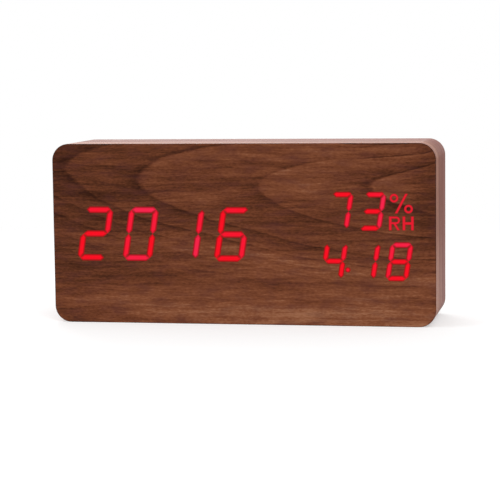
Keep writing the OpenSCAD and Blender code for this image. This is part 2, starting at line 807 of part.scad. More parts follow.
module control_board() {
    color("darkgreen") difference() {
        block(control_x, mid_z, control_w, control_h, control_front_y, control_back_y);
        for (p = BOSS_PLACES)
            rod(p[0], p[1], control_front_y - past, control_back_y + past, screw_r + hole_gap);
    }
}

module control_board_screws() {
    color("silver") for (p = BOSS_PLACES)
        screw(p[0], p[1], control_front_y, board_t + boss_screw_l - pilot_gap, turned = true);
}

module switch_bodies() {
    color("dimgray") for (x = BUTTON_X) difference() {
        block(x, button_z, switch_s, switch_s, control_back_y, switch_top_y);
        rod(x, button_z, switch_top_y - plunger_in - button_travel - fit, switch_top_y + past,
            plunger_r + plunger_gap);
    }
}

module plunger(x) {
    color("black") rod(x, button_z, switch_top_y - plunger_in, plunger_top_y, plunger_r);
}

// A round button with a flange inside the cover, a crowned edge and a raised mark
module button(x) {
    top_y = cover_out_y + button_proud;
    color("gray") {
        rod(x, button_z, plunger_top_y, flange_y, flange_r);
        rod(x, button_z, flange_y, top_y - button_crown, button_d / 2);
        translate([x, top_y, button_z]) rotate([90, 0, 0])
            cylinder(h = button_crown, r1 = button_d / 2 - button_crown, r2 = button_d / 2);
        slab(top_y, top_y + mark_h) translate([x, button_z]) children();
    }
}

module arrow(turn) {
    rotate(turn) polygon([for (a = [90, 210, 330]) mark_r * [cos(a), sin(a)]]);
}

module set_button() {
    button(BUTTON_X[2]) difference() {
        circle(r = mark_r);
        circle(r = mark_r - mark_line);
    }
}

module up_button() {
    button(BUTTON_X[1]) arrow(0);
}

module down_button() {
    button(BUTTON_X[0]) arrow(180);
}

// Power inlet: a square body on the board, a round nose in the cover and a bore round its pin
module dc_jack() {
    color("black") difference() {
        union() {
            block(jack_x, lower_row_z, jack_s, jack_s, control_back_y, cover_in_y);
            rod(jack_x, lower_row_z, cover_in_y, cover_out_y, jack_nose_r);
        }
        rod(jack_x, lower_row_z, cover_out_y - jack_bore_l, cover_out_y + past, jack_bore_r);
    }
}

module dc_jack_pin() {
    bore_end_y = cover_out_y - jack_bore_l;
    color("gold") rod(jack_x, lower_row_z, bore_end_y, bore_end_y + jack_pin_l, jack_pin_r);
}

module buzzer() {
    color("black") difference() {
        rod(buzzer_x, lower_row_z, control_back_y, control_back_y + buzzer_h, buzzer_r);
        rod(buzzer_x, lower_row_z, control_back_y + buzzer_h / 2, control_back_y + buzzer_h + past,
            buzzer_hole_r);
    }
}

module microphone() {
    color("silver") rod(mic_x, lower_row_z, control_back_y, control_back_y + mic_h, mic_r);
}

module humidity_sensor() {
    color("white") difference() {
        block(sensor_x, lower_row_z, sensor_w, sensor_h, control_back_y, control_back_y + sensor_t);
        for (i = [-1 : 1])
            block(sensor_x + i * sensor_slot_pitch, lower_row_z, sensor_slot_w, sensor_slot_l,
                control_back_y + sensor_t / 2, control_back_y + sensor_t + past);
    }
}

// Battery bay

function cell_z(i) = mid_z + (i - (cells - 1) / 2) * cell_pitch;

// A cell's nub points to the left on even places and to the right on odd ones
function nub_left(i) = i % 2 == 0;

module along_x(x, y, z, l, r) {
    translate([x, y, z]) rotate([0, 90, 0]) cylinder(h = l, r = r);
}

module battery_cells() {
    color("goldenrod") for (i = [0 : cells - 1]) {
        left_end = bay_left_x + plate_t + cell_play / 2 + (nub_left(i) ? 0 : spring_l);
        can_x = left_end + (nub_left(i) ? nub_l : 0);
        along_x(can_x, cell_y, cell_z(i), cell_l - nub_l, cell_d / 2);
        along_x(nub_left(i) ? left_end : can_x + cell_l - nub_l, cell_y, cell_z(i), nub_l, nub_r);
    }
}

// Wire of a tapered spring, as a tube swept along its own curve; u runs from its base at 0 to its tip at 1
function spring_axis(u) = let (r = spring_base_r + (spring_tip_r - spring_base_r) * u,
    a = 360 * spring_turns * u, rise = spring_wire / 2 + (spring_l - spring_wire) * u)
    [rise, r * cos(a), r * sin(a)];
function spring_ring(u) = let (step = 0.001, p = spring_axis(u),
    d = spring_axis(u + step) - spring_axis(u - step), along = d / norm(d),
    across = cross(along, [1, 0, 0]), side = across / norm(across), up = cross(side, along))
    [for (k = [0 : spring_sides - 1]) let (a = 360 * k / spring_sides)
        p + spring_wire / 2 * (cos(a) * side + sin(a) * up)];

module tapered_spring() {
    n = spring_sides;
    last = spring_steps * n;
    points = [for (i = [0 : spring_steps]) each spring_ring(i / spring_steps)];
    walls = [for (i = [0 : spring_steps - 1], k = [0 : n - 1]) let (a = i * n + k, b = i * n + (k + 1) % n)
        each [[a, b, a + n], [b, b + n, a + n]]];
    ends = [for (k = [1 : n - 2]) each [[0, k + 1, k], [last, last + k, last + k + 1]]];
    polyhedron(points = points, faces = concat(walls, ends));
}

// Least gap between the wire's own turns, from points of its middle line half a turn or more apart
spring_steps = round(spring_turns * spring_rings);
spring_self_gap = min([for (i = [0 : spring_steps], j = [i + spring_rings / 2 : spring_steps])
    norm(spring_axis(j / spring_steps) - spring_axis(i / spring_steps))]) - spring_wire;
echo(spring_self_gap = spring_self_gap);

module battery_springs() {
    color("silver") for (i = [0 : cells - 1])
        translate([nub_left(i) ? bay_right_x - plate_t : bay_left_x + plate_t, cell_y, cell_z(i)])
            mirror([nub_left(i) ? 1 : 0, 0, 0]) tapered_spring();
}

// Contact plates: two single ones with a terminal on the left, one pair on the left and two on the right
module contact_plate(x, i, span) {
    block(x, (cell_z(i) + cell_z(i + span)) / 2, plate_t, span * cell_pitch + plate_s,
        cell_y - plate_s / 2, cell_y + plate_s / 2);
}

module battery_plates() {
    color("silver") {
        left_x = bay_left_x + plate_t / 2;
        right_x = bay_right_x - plate_t / 2;
        terminal_l = bay_wall + terminal_out + plate_t;
        for (i = [0, cells - 1]) {
            contact_plate(left_x, i, 0);
            block(bay_left_x + plate_t - terminal_l / 2, cell_z(i), terminal_l, terminal_w,
                terminal_y - terminal_t / 2, terminal_y + terminal_t / 2);
        }
        for (i = [1 : 2 : cells - 3]) contact_plate(left_x, i, 1);
        for (i = [0 : 2 : cells - 2]) contact_plate(right_x, i, 1);
    }
}

// Insulated wire through a list of points, with round elbows
module wire(points) {
    for (i = [0 : len(points) - 2]) let (d = points[i + 1] - points[i])
        translate(points[i]) rotate([0, acos(d[2] / norm(d)), atan2(d[1], d[0])])
            cylinder(h = norm(d), r = lead_d / 2);
    for (i = [1 : len(points) - 2]) translate(points[i]) sphere(r = lead_d / 2);
}

// From a terminal outside the bay, round to its place in the socket on the display board
module battery_lead(i, s) {
    z = cell_z(i);
    socket_z = mid_z + s * lead_gap / 2;
    wire([[lead_x + lead_out, terminal_y, z], [lead_x, terminal_y, z], [lead_x, lead_y, z],
        [lead_x, lead_y, socket_z], [lead_x, display_back_y + socket_h, socket_z]]);
}

module battery_lead_red() {
    color("red") battery_lead(0, -1);
}

module battery_lead_black() {
    color("black") battery_lead(cells - 1, 1);
}

// Door with two tabs under the cover's lower edge, a latch tongue at its top and grip ribs
module battery_door() {
    color("darkslategray") {
        block(bay_x, mid_z, door_w, door_h, door_seat_y, cover_out_y);
        for (x = TAB_X) {
            translate([x - tab_w / 2, tab_top_y - tab_t, door_low_z])
                cube([tab_w, door_seat_y - tab_top_y + tab_t, tab_leg_t]);
            translate([x - tab_w / 2, tab_top_y - tab_t, door_low_z - tab_reach])
                cube([tab_w, tab_t, tab_reach + tab_leg_t]);
        }
        block(bay_x, mid_z + bay_h / 2 - latch_gap - latch_t / 2, latch_w, latch_t,
            door_seat_y - latch_l, door_seat_y);
        for (i = [0 : ribs - 1])
            block(bay_x, mid_z + door_h / 2 - rib_inset - i * rib_pitch, latch_w, rib_pitch / 2,
                cover_out_y, cover_out_y + rib_h);
    }
}

case_shell();
wrap_film();
front_veneer();
lit_year_figures();
lit_humidity_figures();
lit_date_figures();
lit_humidity_sign();
diffuser_film();
light_mask();
segment_leds();
display_board();
mask_screws();
display_board_screws();
clock_chip();
crystal_can();
capacitor();
digit_drivers();
lead_socket();
link_headers();
board_link();
rear_cover();
cover_screws();
control_board();
control_board_screws();
switch_bodies();
plunger(BUTTON_X[2]);  // set_plunger
plunger(BUTTON_X[1]);  // up_plunger
plunger(BUTTON_X[0]);  // down_plunger
set_button();
up_button();
down_button();
dc_jack();
dc_jack_pin();
buzzer();
microphone();
humidity_sensor();
battery_door();
battery_cells();
battery_springs();
battery_plates();
battery_lead_red();
battery_lead_black();
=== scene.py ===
"""Looks of a digital alarm clock in a walnut-veneered block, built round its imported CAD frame.

Lengths in the classes are millimetres, in the CAD frame: +X to the right of the face, +Y to the back, +Z up.
"""

import logging
import math
from collections.abc import Callable, Sequence
from dataclasses import dataclass
from enum import Enum, IntEnum

import bmesh
import bpy
from mathutils import Matrix, Vector


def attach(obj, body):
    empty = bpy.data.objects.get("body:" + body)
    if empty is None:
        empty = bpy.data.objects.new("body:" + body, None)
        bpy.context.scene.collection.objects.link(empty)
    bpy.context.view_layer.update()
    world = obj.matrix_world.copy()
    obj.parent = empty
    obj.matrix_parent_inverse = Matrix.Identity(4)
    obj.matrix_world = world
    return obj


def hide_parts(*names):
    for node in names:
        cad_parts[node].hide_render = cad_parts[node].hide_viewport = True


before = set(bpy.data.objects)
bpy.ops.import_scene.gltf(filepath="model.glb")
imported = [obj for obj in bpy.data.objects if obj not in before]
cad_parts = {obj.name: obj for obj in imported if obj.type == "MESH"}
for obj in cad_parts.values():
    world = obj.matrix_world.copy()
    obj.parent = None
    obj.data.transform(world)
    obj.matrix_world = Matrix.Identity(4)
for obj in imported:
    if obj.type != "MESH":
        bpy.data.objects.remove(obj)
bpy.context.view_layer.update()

LOG = logging.getLogger("clock")
MM = 0.001  # metres in a millimetre
NEAR = 0.01  # millimetres within which two places agree
ALIGNED = 0.99  # least cosine between a face's normal and a direction that it looks along
STRAIGHT = 0.999  # least share of its length that an edge runs along an axis
PAST = 1.0  # millimetres that a cutter runs past a face
SAW = 1e-7  # metres within which a saw cut catches a corner
MERGE = 0.002  # millimetres within which corners merge
FLAT = 0.5  # degrees below which neighbouring faces count as one

Point2 = tuple[float, float]
Point3 = tuple[float, float, float]
Span = tuple[Point2, Point2]
Colour = tuple[float, float, float, float]
Stops = tuple[tuple[float, Colour], ...]
Socket = bpy.types.NodeSocket
Test = Callable[[object], bool]

WHITE: Colour = (1.0, 1.0, 1.0, 1.0)
BLACK: Colour = (0.0, 0.0, 0.0, 1.0)
FULL: Point2 = (0.0, 1.0)
MOST: Point2 = (0.3, 0.7)  # where most of a random pattern lies


def srgb(*levels: float) -> Colour:
    """Turns a colour as seen on screen, 0 to 255, into a linear one with full alpha."""
    parts = [level / 255 for level in levels]
    return (*(p / 12.92 if p <= 0.04045 else ((p + 0.055) / 1.055) ** 2.4 for p in parts), 1.0)


def toned(colour: Colour, factor: float, lift: float = 0.0) -> Colour:
    """Makes a linear colour darker or paler."""
    return (*(min(1.0, factor * part + lift) for part in colour[:3]), 1.0)


class Part(Enum):
    """What a selection is made of."""

    FACE = "faces"
    EDGE = "edges"


class Axis(Enum):
    """The frame's axes, by their place in a point."""

    X = 0
    Y = 1
    Z = 2


class Sides(IntEnum):
    """How many sides a round bar or hole has, by its size."""

    TINY = 16
    FINE = 24
    SMALL = 32
    MEDIUM = 40
    NOSE = 48
    CELL = 56
    BUTTON = 64


class Body(Enum):
    """The CAD bodies that pieces ride on."""

    CASE = "case"
    SET_KEY = "set_key"
    UP_KEY = "up_key"
    DOWN_KEY = "down_key"
    DOOR = "door"


def anything(part: object) -> bool:
    """Passes every face or edge."""
    return True


def facing(*direction: float) -> Test:
    """Makes a test for faces that look along a direction."""
    return lambda face: face.normal.dot(Vector(direction)) > ALIGNED


def level(axis: Axis, value: float) -> Test:
    """Makes a test for faces or edges that lie at one height along an axis."""
    return lambda part: all(abs(v.co[axis.value] / MM - value) < NEAR for v in part.verts)


def along(axis: Axis) -> Test:
    """Makes a test for edges that run along an axis."""
    return lambda edge: abs((edge.verts[1].co - edge.verts[0].co)[axis.value]) > STRAIGHT * edge.calc_length()


def both(*tests: Test) -> Test:
    """Makes a test that holds where all the given ones hold."""
    return lambda part: all(test(part) for test in tests)


def circle(middle: Point2, radius: float, count: int, start: float = 0.0) -> list[Point2]:
    """Gives points spread evenly round a middle, the first of them at an angle in degrees."""
    turns = [math.radians(start) + math.tau * number / count for number in range(count)]
    return [(middle[0] + radius * math.cos(turn), middle[1] + radius * math.sin(turn)) for turn in turns]


class Bench:
    """One mesh on the workbench, shaped with Blender's own tools."""

    def __init__(self, name: str) -> None:
        """Takes up the object that was just added and puts its place into its mesh.

        Args:
            name: Name of the piece.
        """
        self.obj = bpy.context.active_object
        self.call(name)
        bpy.ops.object.transform_apply(location=True, rotation=True, scale=True)

    @staticmethod
    def clear() -> None:
        """Leaves edit mode and deselects everything."""
        if bpy.context.mode != "OBJECT":
            bpy.ops.object.mode_set(mode="OBJECT")
        bpy.ops.object.select_all(action="DESELECT")

    @classmethod
    def box(cls, name: str, low: Point3, high: Point3) -> "Bench":
        """Starts from a block between two corners.

        Args:
            name: Name of the piece.
            low: Lowest corner.
            high: Highest corner.

        Returns:
            The new mesh.
        """
        cls.clear()
        middle = [(a + b) / 2 * MM for a, b in zip(low, high)]
        size = [(b - a) * MM for a, b in zip(low, high)]
        bpy.ops.mesh.primitive_cube_add(size=1, location=middle, scale=size)
        return cls(name)

    @classmethod
    def block(cls, name: str, middle: Point2, half: Point2, ends: Point2) -> "Bench":
        """Starts from a block along Y, given by its middle and half its size in X and Z."""
        (x, z), (wide, high) = middle, half
        return cls.box(name, (x - wide, ends[0], z - high), (x + wide, ends[1], z + high))

    @classmethod
    def rod(cls, name: str, middle: Point2, ends: Point2, radius: float, sides: Sides,
            axis: Axis = Axis.Y) -> "Bench":
        """Starts from a round bar along X or Y.

        Args:
            name: Name of the piece.
            middle: Its middle on the two other axes.
            ends: Its two ends on its own axis.
            radius: Its radius.
            sides: Number of sides.
            axis: Its own axis.

        Returns:
            The new mesh.
        """
        cls.clear()
        place = list(middle)
        place.insert(axis.value, sum(ends) / 2)
        turn = (0, math.pi / 2, 0) if axis is Axis.X else (-math.pi / 2, 0, 0)
        length = ends[1] - ends[0]
        bpy.ops.mesh.primitive_cylinder_add(vertices=sides, radius=radius * MM, depth=length * MM,
                                            location=[p * MM for p in place], rotation=turn)
        return cls(name)

    @classmethod
    def prism(cls, name: str, outline: Sequence[Point2], ends: Point2) -> "Bench":
        """Saws a convex outline, drawn in X and Z, out of a block.

        Args:
            name: Name of the piece.
            outline: Its corners in order.
            ends: Its two ends in Y.

        Returns:
            The new mesh.
        """
        xs, zs = zip(*outline)
        low, high = (min(xs) - PAST, ends[0], min(zs) - PAST), (max(xs) + PAST, ends[1], max(zs) + PAST)
        bench = cls.box(name, low, high)
        middle = Vector((sum(xs) / len(xs), sum(zs) / len(zs)))
        for a, b in zip(outline, [*outline[1:], outline[0]]):
            side = Vector(b) - Vector(a)
            out = Vector((side.y, -side.x))
            if out.dot(Vector(a) - middle) < 0:
                out.negate()
            bench.saw((a[0], 0, a[1]), (out.x, 0, out.y), True)
        return bench

    @staticmethod
    def gather(name: str, benches: Sequence["Bench"]) -> "Bench":
        """Joins several meshes into one piece and names it."""
        return benches[0].join(benches[1:]).call(name)

    def call(self, name: str) -> "Bench":
        """Names the object and its mesh."""
        self.obj.name = self.obj.data.name = name
        return self

    def hold(self) -> "Bench":
        """Selects this object alone, in object mode.

        Returns:
            This mesh.
        """
        self.clear()
        self.obj.select_set(True)
        bpy.context.view_layer.objects.active = self.obj
        return self

    def pick(self, part: Part, test: Test) -> "Bench":
        """Selects the faces or edges that pass a test, in edit mode.

        Args:
            part: Faces or edges.
            test: The test.

        Returns:
            This mesh.
        """
        self.hold()
        bpy.ops.object.mode_set(mode="EDIT")
        bpy.ops.mesh.select_mode(type=part.name)
        bpy.ops.mesh.select_all(action="DESELECT")
        mesh = bmesh.from_edit_mesh(self.obj.data)
        for found in [p for p in getattr(mesh, part.value) if test(p)]:
            found.select_set(True)
        mesh.select_flush_mode()
        bmesh.update_edit_mesh(self.obj.data)
        return self

    def end(self, way: int) -> "Bench":
        """Selects the faces that look along Y, to the back for 1 and to the front for -1."""
        return self.pick(Part.FACE, facing(0, way, 0))

    def bevel(self, width: float, steps: int, kind: str = "OFFSET") -> "Bench":
        """Rounds the selected edges in some steps, with a width that is measured in one of Blender's ways."""
        bpy.ops.mesh.bevel(offset=width * MM, segments=steps, profile=0.5, affect="EDGES", offset_type=kind)
        return self

    def ease_sides(self, width: float, steps: int, kind: str = "OFFSET") -> "Bench":
        """Rounds the edges along Y."""
        return self.pick(Part.EDGE, along(Axis.Y)).bevel(width, steps, kind)

    def ease_rim(self, y: float, width: float, steps: int) -> "Bench":
        """Rounds the edges that lie at one depth in Y."""
        return self.pick(Part.EDGE, level(Axis.Y, y)).bevel(width, steps)

    def inset(self, width: float, rise: float = 0.0) -> "Bench":
        """Draws a border inside the selected faces and may raise what it encloses."""
        bpy.ops.mesh.inset(thickness=width * MM, depth=rise * MM, use_even_offset=True)
        return self

    def push(self, *shift: float) -> "Bench":
        """Extrudes the selected faces along X, Y and Z."""
        bpy.ops.mesh.extrude_region_move(TRANSFORM_OT_translate={"value": [s * MM for s in shift]})
        return self

    def pull(self, y: float, factor: float = 1.0, middle: Point2 = (0.0, 0.0)) -> "Bench":
        """Extrudes the selected faces along Y and scales their new end about a point."""
        self.push(0, y, 0)
        return self if factor == 1.0 else self.scale(factor, factor, middle)

    def scale(self, wide: float, high: float, middle: Point2) -> "Bench":
        """Scales what is selected in X and Z about a point."""
        bpy.ops.transform.resize(value=(wide, 1, high), center_override=(middle[0] * MM, 0, middle[1] * MM))
        return self

    def move(self, *shift: float) -> "Bench":
        """Moves what is selected along X, Y and Z."""
        bpy.ops.transform.translate(value=[s * MM for s in shift])
        return self

    def saw(self, point: Point3, out: Point3, clear: bool) -> "Bench":
        """Cuts the mesh along a plane.

        Args:
            point: A point of the plane.
            out: The direction that it looks in.
            clear: Whether what lies beyond goes and the cut is closed.

        Returns:
            This mesh.
        """
        self.pick(Part.FACE, anything)
        bpy.ops.mesh.bisect(plane_co=[p * MM for p in point], plane_no=Vector(out).normalized(),
                            clear_outer=clear, use_fill=clear, threshold=SAW)
        return self

    def drop(self) -> "Bench":
        """Deletes the selected faces."""
        bpy.ops.mesh.delete(type="FACE")
        return self

    def change(self, kind: str, **settings: object) -> "Bench":
        """Adds a modifier and applies it.

        Args:
            kind: Kind of modifier.
            settings: Its settings.

        Returns:
            This mesh.
        """
        self.hold()
        bpy.ops.object.modifier_add(type=kind)
        modifier = self.obj.modifiers[-1]
        for name, value in settings.items():
            setattr(modifier, name, value)
        bpy.ops.object.modifier_apply(modifier=modifier.name)
        return self

    def cut(self, *tools: "Bench") -> "Bench":
        """Cuts other meshes out of this one and clears them away."""
        return self.combine("DIFFERENCE", tools)

    def weld(self, *tools: "Bench") -> "Bench":
        """Adds other meshes to this one and clears them away."""
        return self.combine("UNION", tools)

    def combine(self, operation: str, tools: Sequence["Bench"]) -> "Bench":
        """Runs a Boolean with other meshes and deletes them.

        Args:
            operation: Kind of Boolean.
            tools: The other meshes.

        Returns:
            This mesh.
        """
        for tool in tools:
            self.change("BOOLEAN", operation=operation, solver="EXACT", object=tool.obj)
            bpy.data.objects.remove(tool.obj)
        return self

    def copy(self, name: str, *shift: float) -> "Bench":
        """Copies this mesh to another place.

        Args:
            name: Name of the copy.
            shift: How far it moves along X, Y and Z.

        Returns:
            The copy, with a mesh of its own.
        """
        self.hold()
        bpy.ops.object.duplicate(linked=False)
        self.move(*shift)
        return Bench(name)

    def join(self, others: Sequence["Bench"]) -> "Bench":
        """Joins other meshes into this one as they are.

        Args:
            others: The other meshes.

        Returns:
            This mesh.
        """
        self.hold()
        for other in others:
            other.obj.select_set(True)
        if others:
            bpy.ops.object.join()
        return self

    def tidy(self) -> "Bench":
        """Merges doubles, joins flat neighbours and turns the faces outwards.

        Returns:
            This mesh.
        """
        self.pick(Part.FACE, anything)
        bpy.ops.mesh.remove_doubles(threshold=MERGE * MM)
        bpy.ops.mesh.dissolve_limited(angle_limit=math.radians(FLAT))
        bpy.ops.mesh.normals_make_consistent(inside=False)
        return self

    def smooth(self, angle: float = 35.0) -> "Bench":
        """Shades edges flatter than an angle as round, with large faces kept flat.

        Args:
            angle: The angle in degrees.

        Returns:
            This mesh.
        """
        self.hold()
        bpy.ops.object.shade_smooth_by_angle(angle=math.radians(angle))
        return self.change("WEIGHTED_NORMAL", keep_sharp=True)

    def mark(self, name: str, value: Callable[[object], float]) -> "Bench":
        """Writes a number to an attribute of each corner.

        Args:
            name: Name of the attribute.
            value: Gives the number for a corner.

        Returns:
            This mesh.
        """
        self.hold()
        mesh = self.obj.data
        layer = mesh.attributes.get(name) or mesh.attributes.new(name, "FLOAT", "POINT")
        layer.data.foreach_set("value", [value(v) for v in mesh.vertices])
        return self


@dataclass(frozen=True)
class Pattern:
    """A soft random pattern: size of its spots along each axis, reach, finer layers and their strength."""

    size: Point3
    reach: float = 1.0
    detail: float = 2.0
    rough: float = 0.5


class Tree:
    """Lays out a node tree."""

    def __init__(self, tree: bpy.types.NodeTree) -> None:
        """Takes up a tree."""
        self.tree = tree

    def add(self, kind: str, feeds: dict, outlet: int | str = 0, **settings: object) -> Socket:
        """Adds a node.

        Args:
            kind: Its type, without the common prefix.
            feeds: What goes into its inputs, by name or place.
            outlet: The output that is wanted.
            settings: Its other settings.

        Returns:
            That output.
        """
        node = self.tree.nodes.new("ShaderNode" + kind)
        for name, value in settings.items():
            setattr(node, name, value)
        for key, value in feeds.items():
            self.feed(node.inputs[key], value)
        return node.outputs[outlet]

    def feed(self, socket: Socket, value: object) -> None:
        """Links an output to an input, or sets the input's own value.

        Args:
            socket: The input.
            value: An output, a number, a point or a colour.
        """
        if isinstance(value, Socket):
            self.tree.links.new(value, socket)
        else:
            socket.default_value = value

    def place(self) -> Socket:
        """Gives the place on the object in millimetres."""
        return self.scaled(self.add("TexCoord", {}, "Object"), (1 / MM,) * 3)

    def scaled(self, vector: Socket, factors: Point3) -> Socket:
        """Multiplies a vector by a factor along each axis."""
        return self.add("VectorMath", {0: vector, 1: factors}, operation="MULTIPLY")

    def split(self, vector: Socket) -> tuple[Socket, ...]:
        """Takes a vector apart into its three numbers."""
        return tuple(self.add("SeparateXYZ", {0: vector}).node.outputs)

    def level(self, x: Socket, z: Socket) -> Socket:
        """Makes a vector of X and Z alone."""
        return self.add("CombineXYZ", {0: x, 2: z})

    def maths(self, operation: str, a: object, b: object = 0.0, clamp: bool = False) -> Socket:
        """Works out one sum on two numbers."""
        return self.add("Math", {0: a, 1: b}, operation=operation, use_clamp=clamp)

    def line(self, value: object, slope: object, start: object) -> Socket:
        """Works out a straight line: a number times a slope, plus a start."""
        return self.add("Math", {0: value, 1: slope, 2: start}, operation="MULTIPLY_ADD")

    def less(self, a: object, b: object) -> Socket:
        """Takes one number from another."""
        return self.maths("SUBTRACT", a, b)

    def times(self, a: object, b: object) -> Socket:
        """Multiplies two numbers."""
        return self.maths("MULTIPLY", a, b)

    def total(self, *terms: object) -> Socket:
        """Adds up several numbers.

        Args:
            terms: The numbers.

        Returns:
            Their sum.
        """
        found = terms[0]
        for term in terms[1:]:
            found = self.maths("ADD", found, term)
        return found

    def noise(self, vector: Socket, pattern: Pattern) -> Socket:
        """Adds a random pattern about a half, on a place in millimetres."""
        feeds = {"Scale": 1.0, "Detail": pattern.detail, "Roughness": pattern.rough}
        return self.add("TexNoise", {"Vector": self.scaled(vector, [1 / s for s in pattern.size]), **feeds})

    def swing(self, vector: Socket, pattern: Pattern) -> Socket:
        """Adds a random pattern about zero, which swings a quarter of its reach to each side."""
        return self.times(self.less(self.noise(vector, pattern), 0.5), pattern.reach)

    def spread(self, value: object, source: Point2, target: Point2) -> Socket:
        """Maps one range of a number onto another and stops at its ends."""
        return self.add("MapRange", {0: value, 1: source[0], 2: source[1], 3: target[0], 4: target[1]})

    def ramp(self, value: object, stops: Sequence[tuple[float, Colour]]) -> Socket:
        """Turns a number from 0 to 1 into a colour.

        Args:
            value: The number.
            stops: Places and linear colours.

        Returns:
            The colour.
        """
        outlet = self.add("ValToRGB", {0: value})
        elements = outlet.node.color_ramp.elements
        elements.remove(elements[1])
        elements[0].position, elements[0].color = stops[0]
        for place, colour in stops[1:]:
            elements.new(place).color = colour
        return outlet

    def mix(self, factor: object, a: object, b: object) -> Socket:
        """Mixes two colours."""
        return self.add("Mix", {0: factor, 6: a, 7: b}, 2, data_type="RGBA")


class Nodes(Tree):
    """Lays out the node tree of one material."""

    def __init__(self, name: str) -> None:
        """Starts from a bare Principled shader.

        Args:
            name: Name of the material.
        """
        self.material = bpy.data.materials.new(name)
        self.material.use_nodes = True
        super().__init__(self.material.node_tree)
        self.shader = self.tree.nodes["Principled BSDF"]

    def set(self, **values: object) -> None:
        """Feeds the shader's inputs, with spaces in their names written as low lines."""
        for name, value in values.items():
            self.feed(self.shader.inputs[name.replace("_", " ")], value)

    def bump(self, height: Socket, relief: Point2) -> None:
        """Roughens the surface by a height from 0 to 1, with the relief's depth and strength."""
        depth, strength = relief
        self.set(Normal=self.add("Bump", {"Strength": strength, "Distance": depth * MM, "Height": height}))


@dataclass(frozen=True)
class Finish:
    """A finish that pieces are dressed in."""

    name: str

    def material(self) -> bpy.types.Material:
        """Gives the finish's material, made when it is first asked for.

        Returns:
            The material.
        """
        name = "dress_" + self.name
        if name not in bpy.data.materials:
            self.draw(Nodes(name))
        return bpy.data.materials[name]

    def draw(self, nodes: Nodes) -> None:
        """Draws the node tree; each finish has its own."""
        raise NotImplementedError


@dataclass(frozen=True)
class Walnut(Finish):
    """Oiled walnut: ring lines, streaks, fibres and pores from dark to light brown."""

    rough: float = 0.55
    uneven_gloss: float = 0.05
    sheen: float = 0.06
    tint: Colour = srgb(84, 44, 40)
    shades: Stops = (
        (0.08, srgb(51, 23, 11)),
        (0.30, srgb(80, 42, 24)),
        (0.50, srgb(105, 57, 35)),
        (0.72, srgb(128, 75, 49)),
        (0.98, srgb(155, 104, 75)),
    )
    streaks: Pattern = Pattern((40, 30, 2.2), 0.6)
    fibre: Pattern = Pattern((10, 12, 0.8), 0.6)
    flecks: Pattern = Pattern((1.5, 9, 0.5), 0.45, 1.0)
    pores: Pattern = Pattern((3.0, 9, 0.22), detail=1.0)
    pore_edges: Point2 = (0.6, 0.7)
    pore_dark: float = -0.12
    gloss_tones: Point2 = (0.2, 0.8)
    relief: Point2 = (0.03, 0.35)

    def fibres(self, nodes: Nodes, grain: Socket) -> tuple[Socket, Socket]:
        """Draws streaks and fibres as a tone about zero, and pores from 0 to 1; the grain runs along X."""
        tone = nodes.total(*(nodes.swing(grain, p) for p in (self.streaks, self.fibre, self.flecks)))
        return tone, nodes.spread(nodes.noise(grain, self.pores), self.pore_edges, FULL)

    def shade(self, nodes: Nodes, tone: Socket, pores: Socket, tinted: Socket) -> None:
        """Turns the tone into colour, gloss and relief.

        Args:
            nodes: The material's nodes.
            tone: Tone about zero.
            pores: Pores from 0 to 1.
            tinted: Share of the tint from 0 to 1.
        """
        tone = nodes.total(0.5, tone, nodes.times(pores, self.pore_dark))
        gloss = (self.rough + self.uneven_gloss, self.rough - self.uneven_gloss)
        nodes.set(Base_Color=nodes.mix(tinted, nodes.ramp(tone, self.shades), self.tint),
                  Roughness=nodes.spread(tone, self.gloss_tones, gloss), Specular_IOR_Level=self.sheen)
        nodes.bump(nodes.less(tone, pores), self.relief)


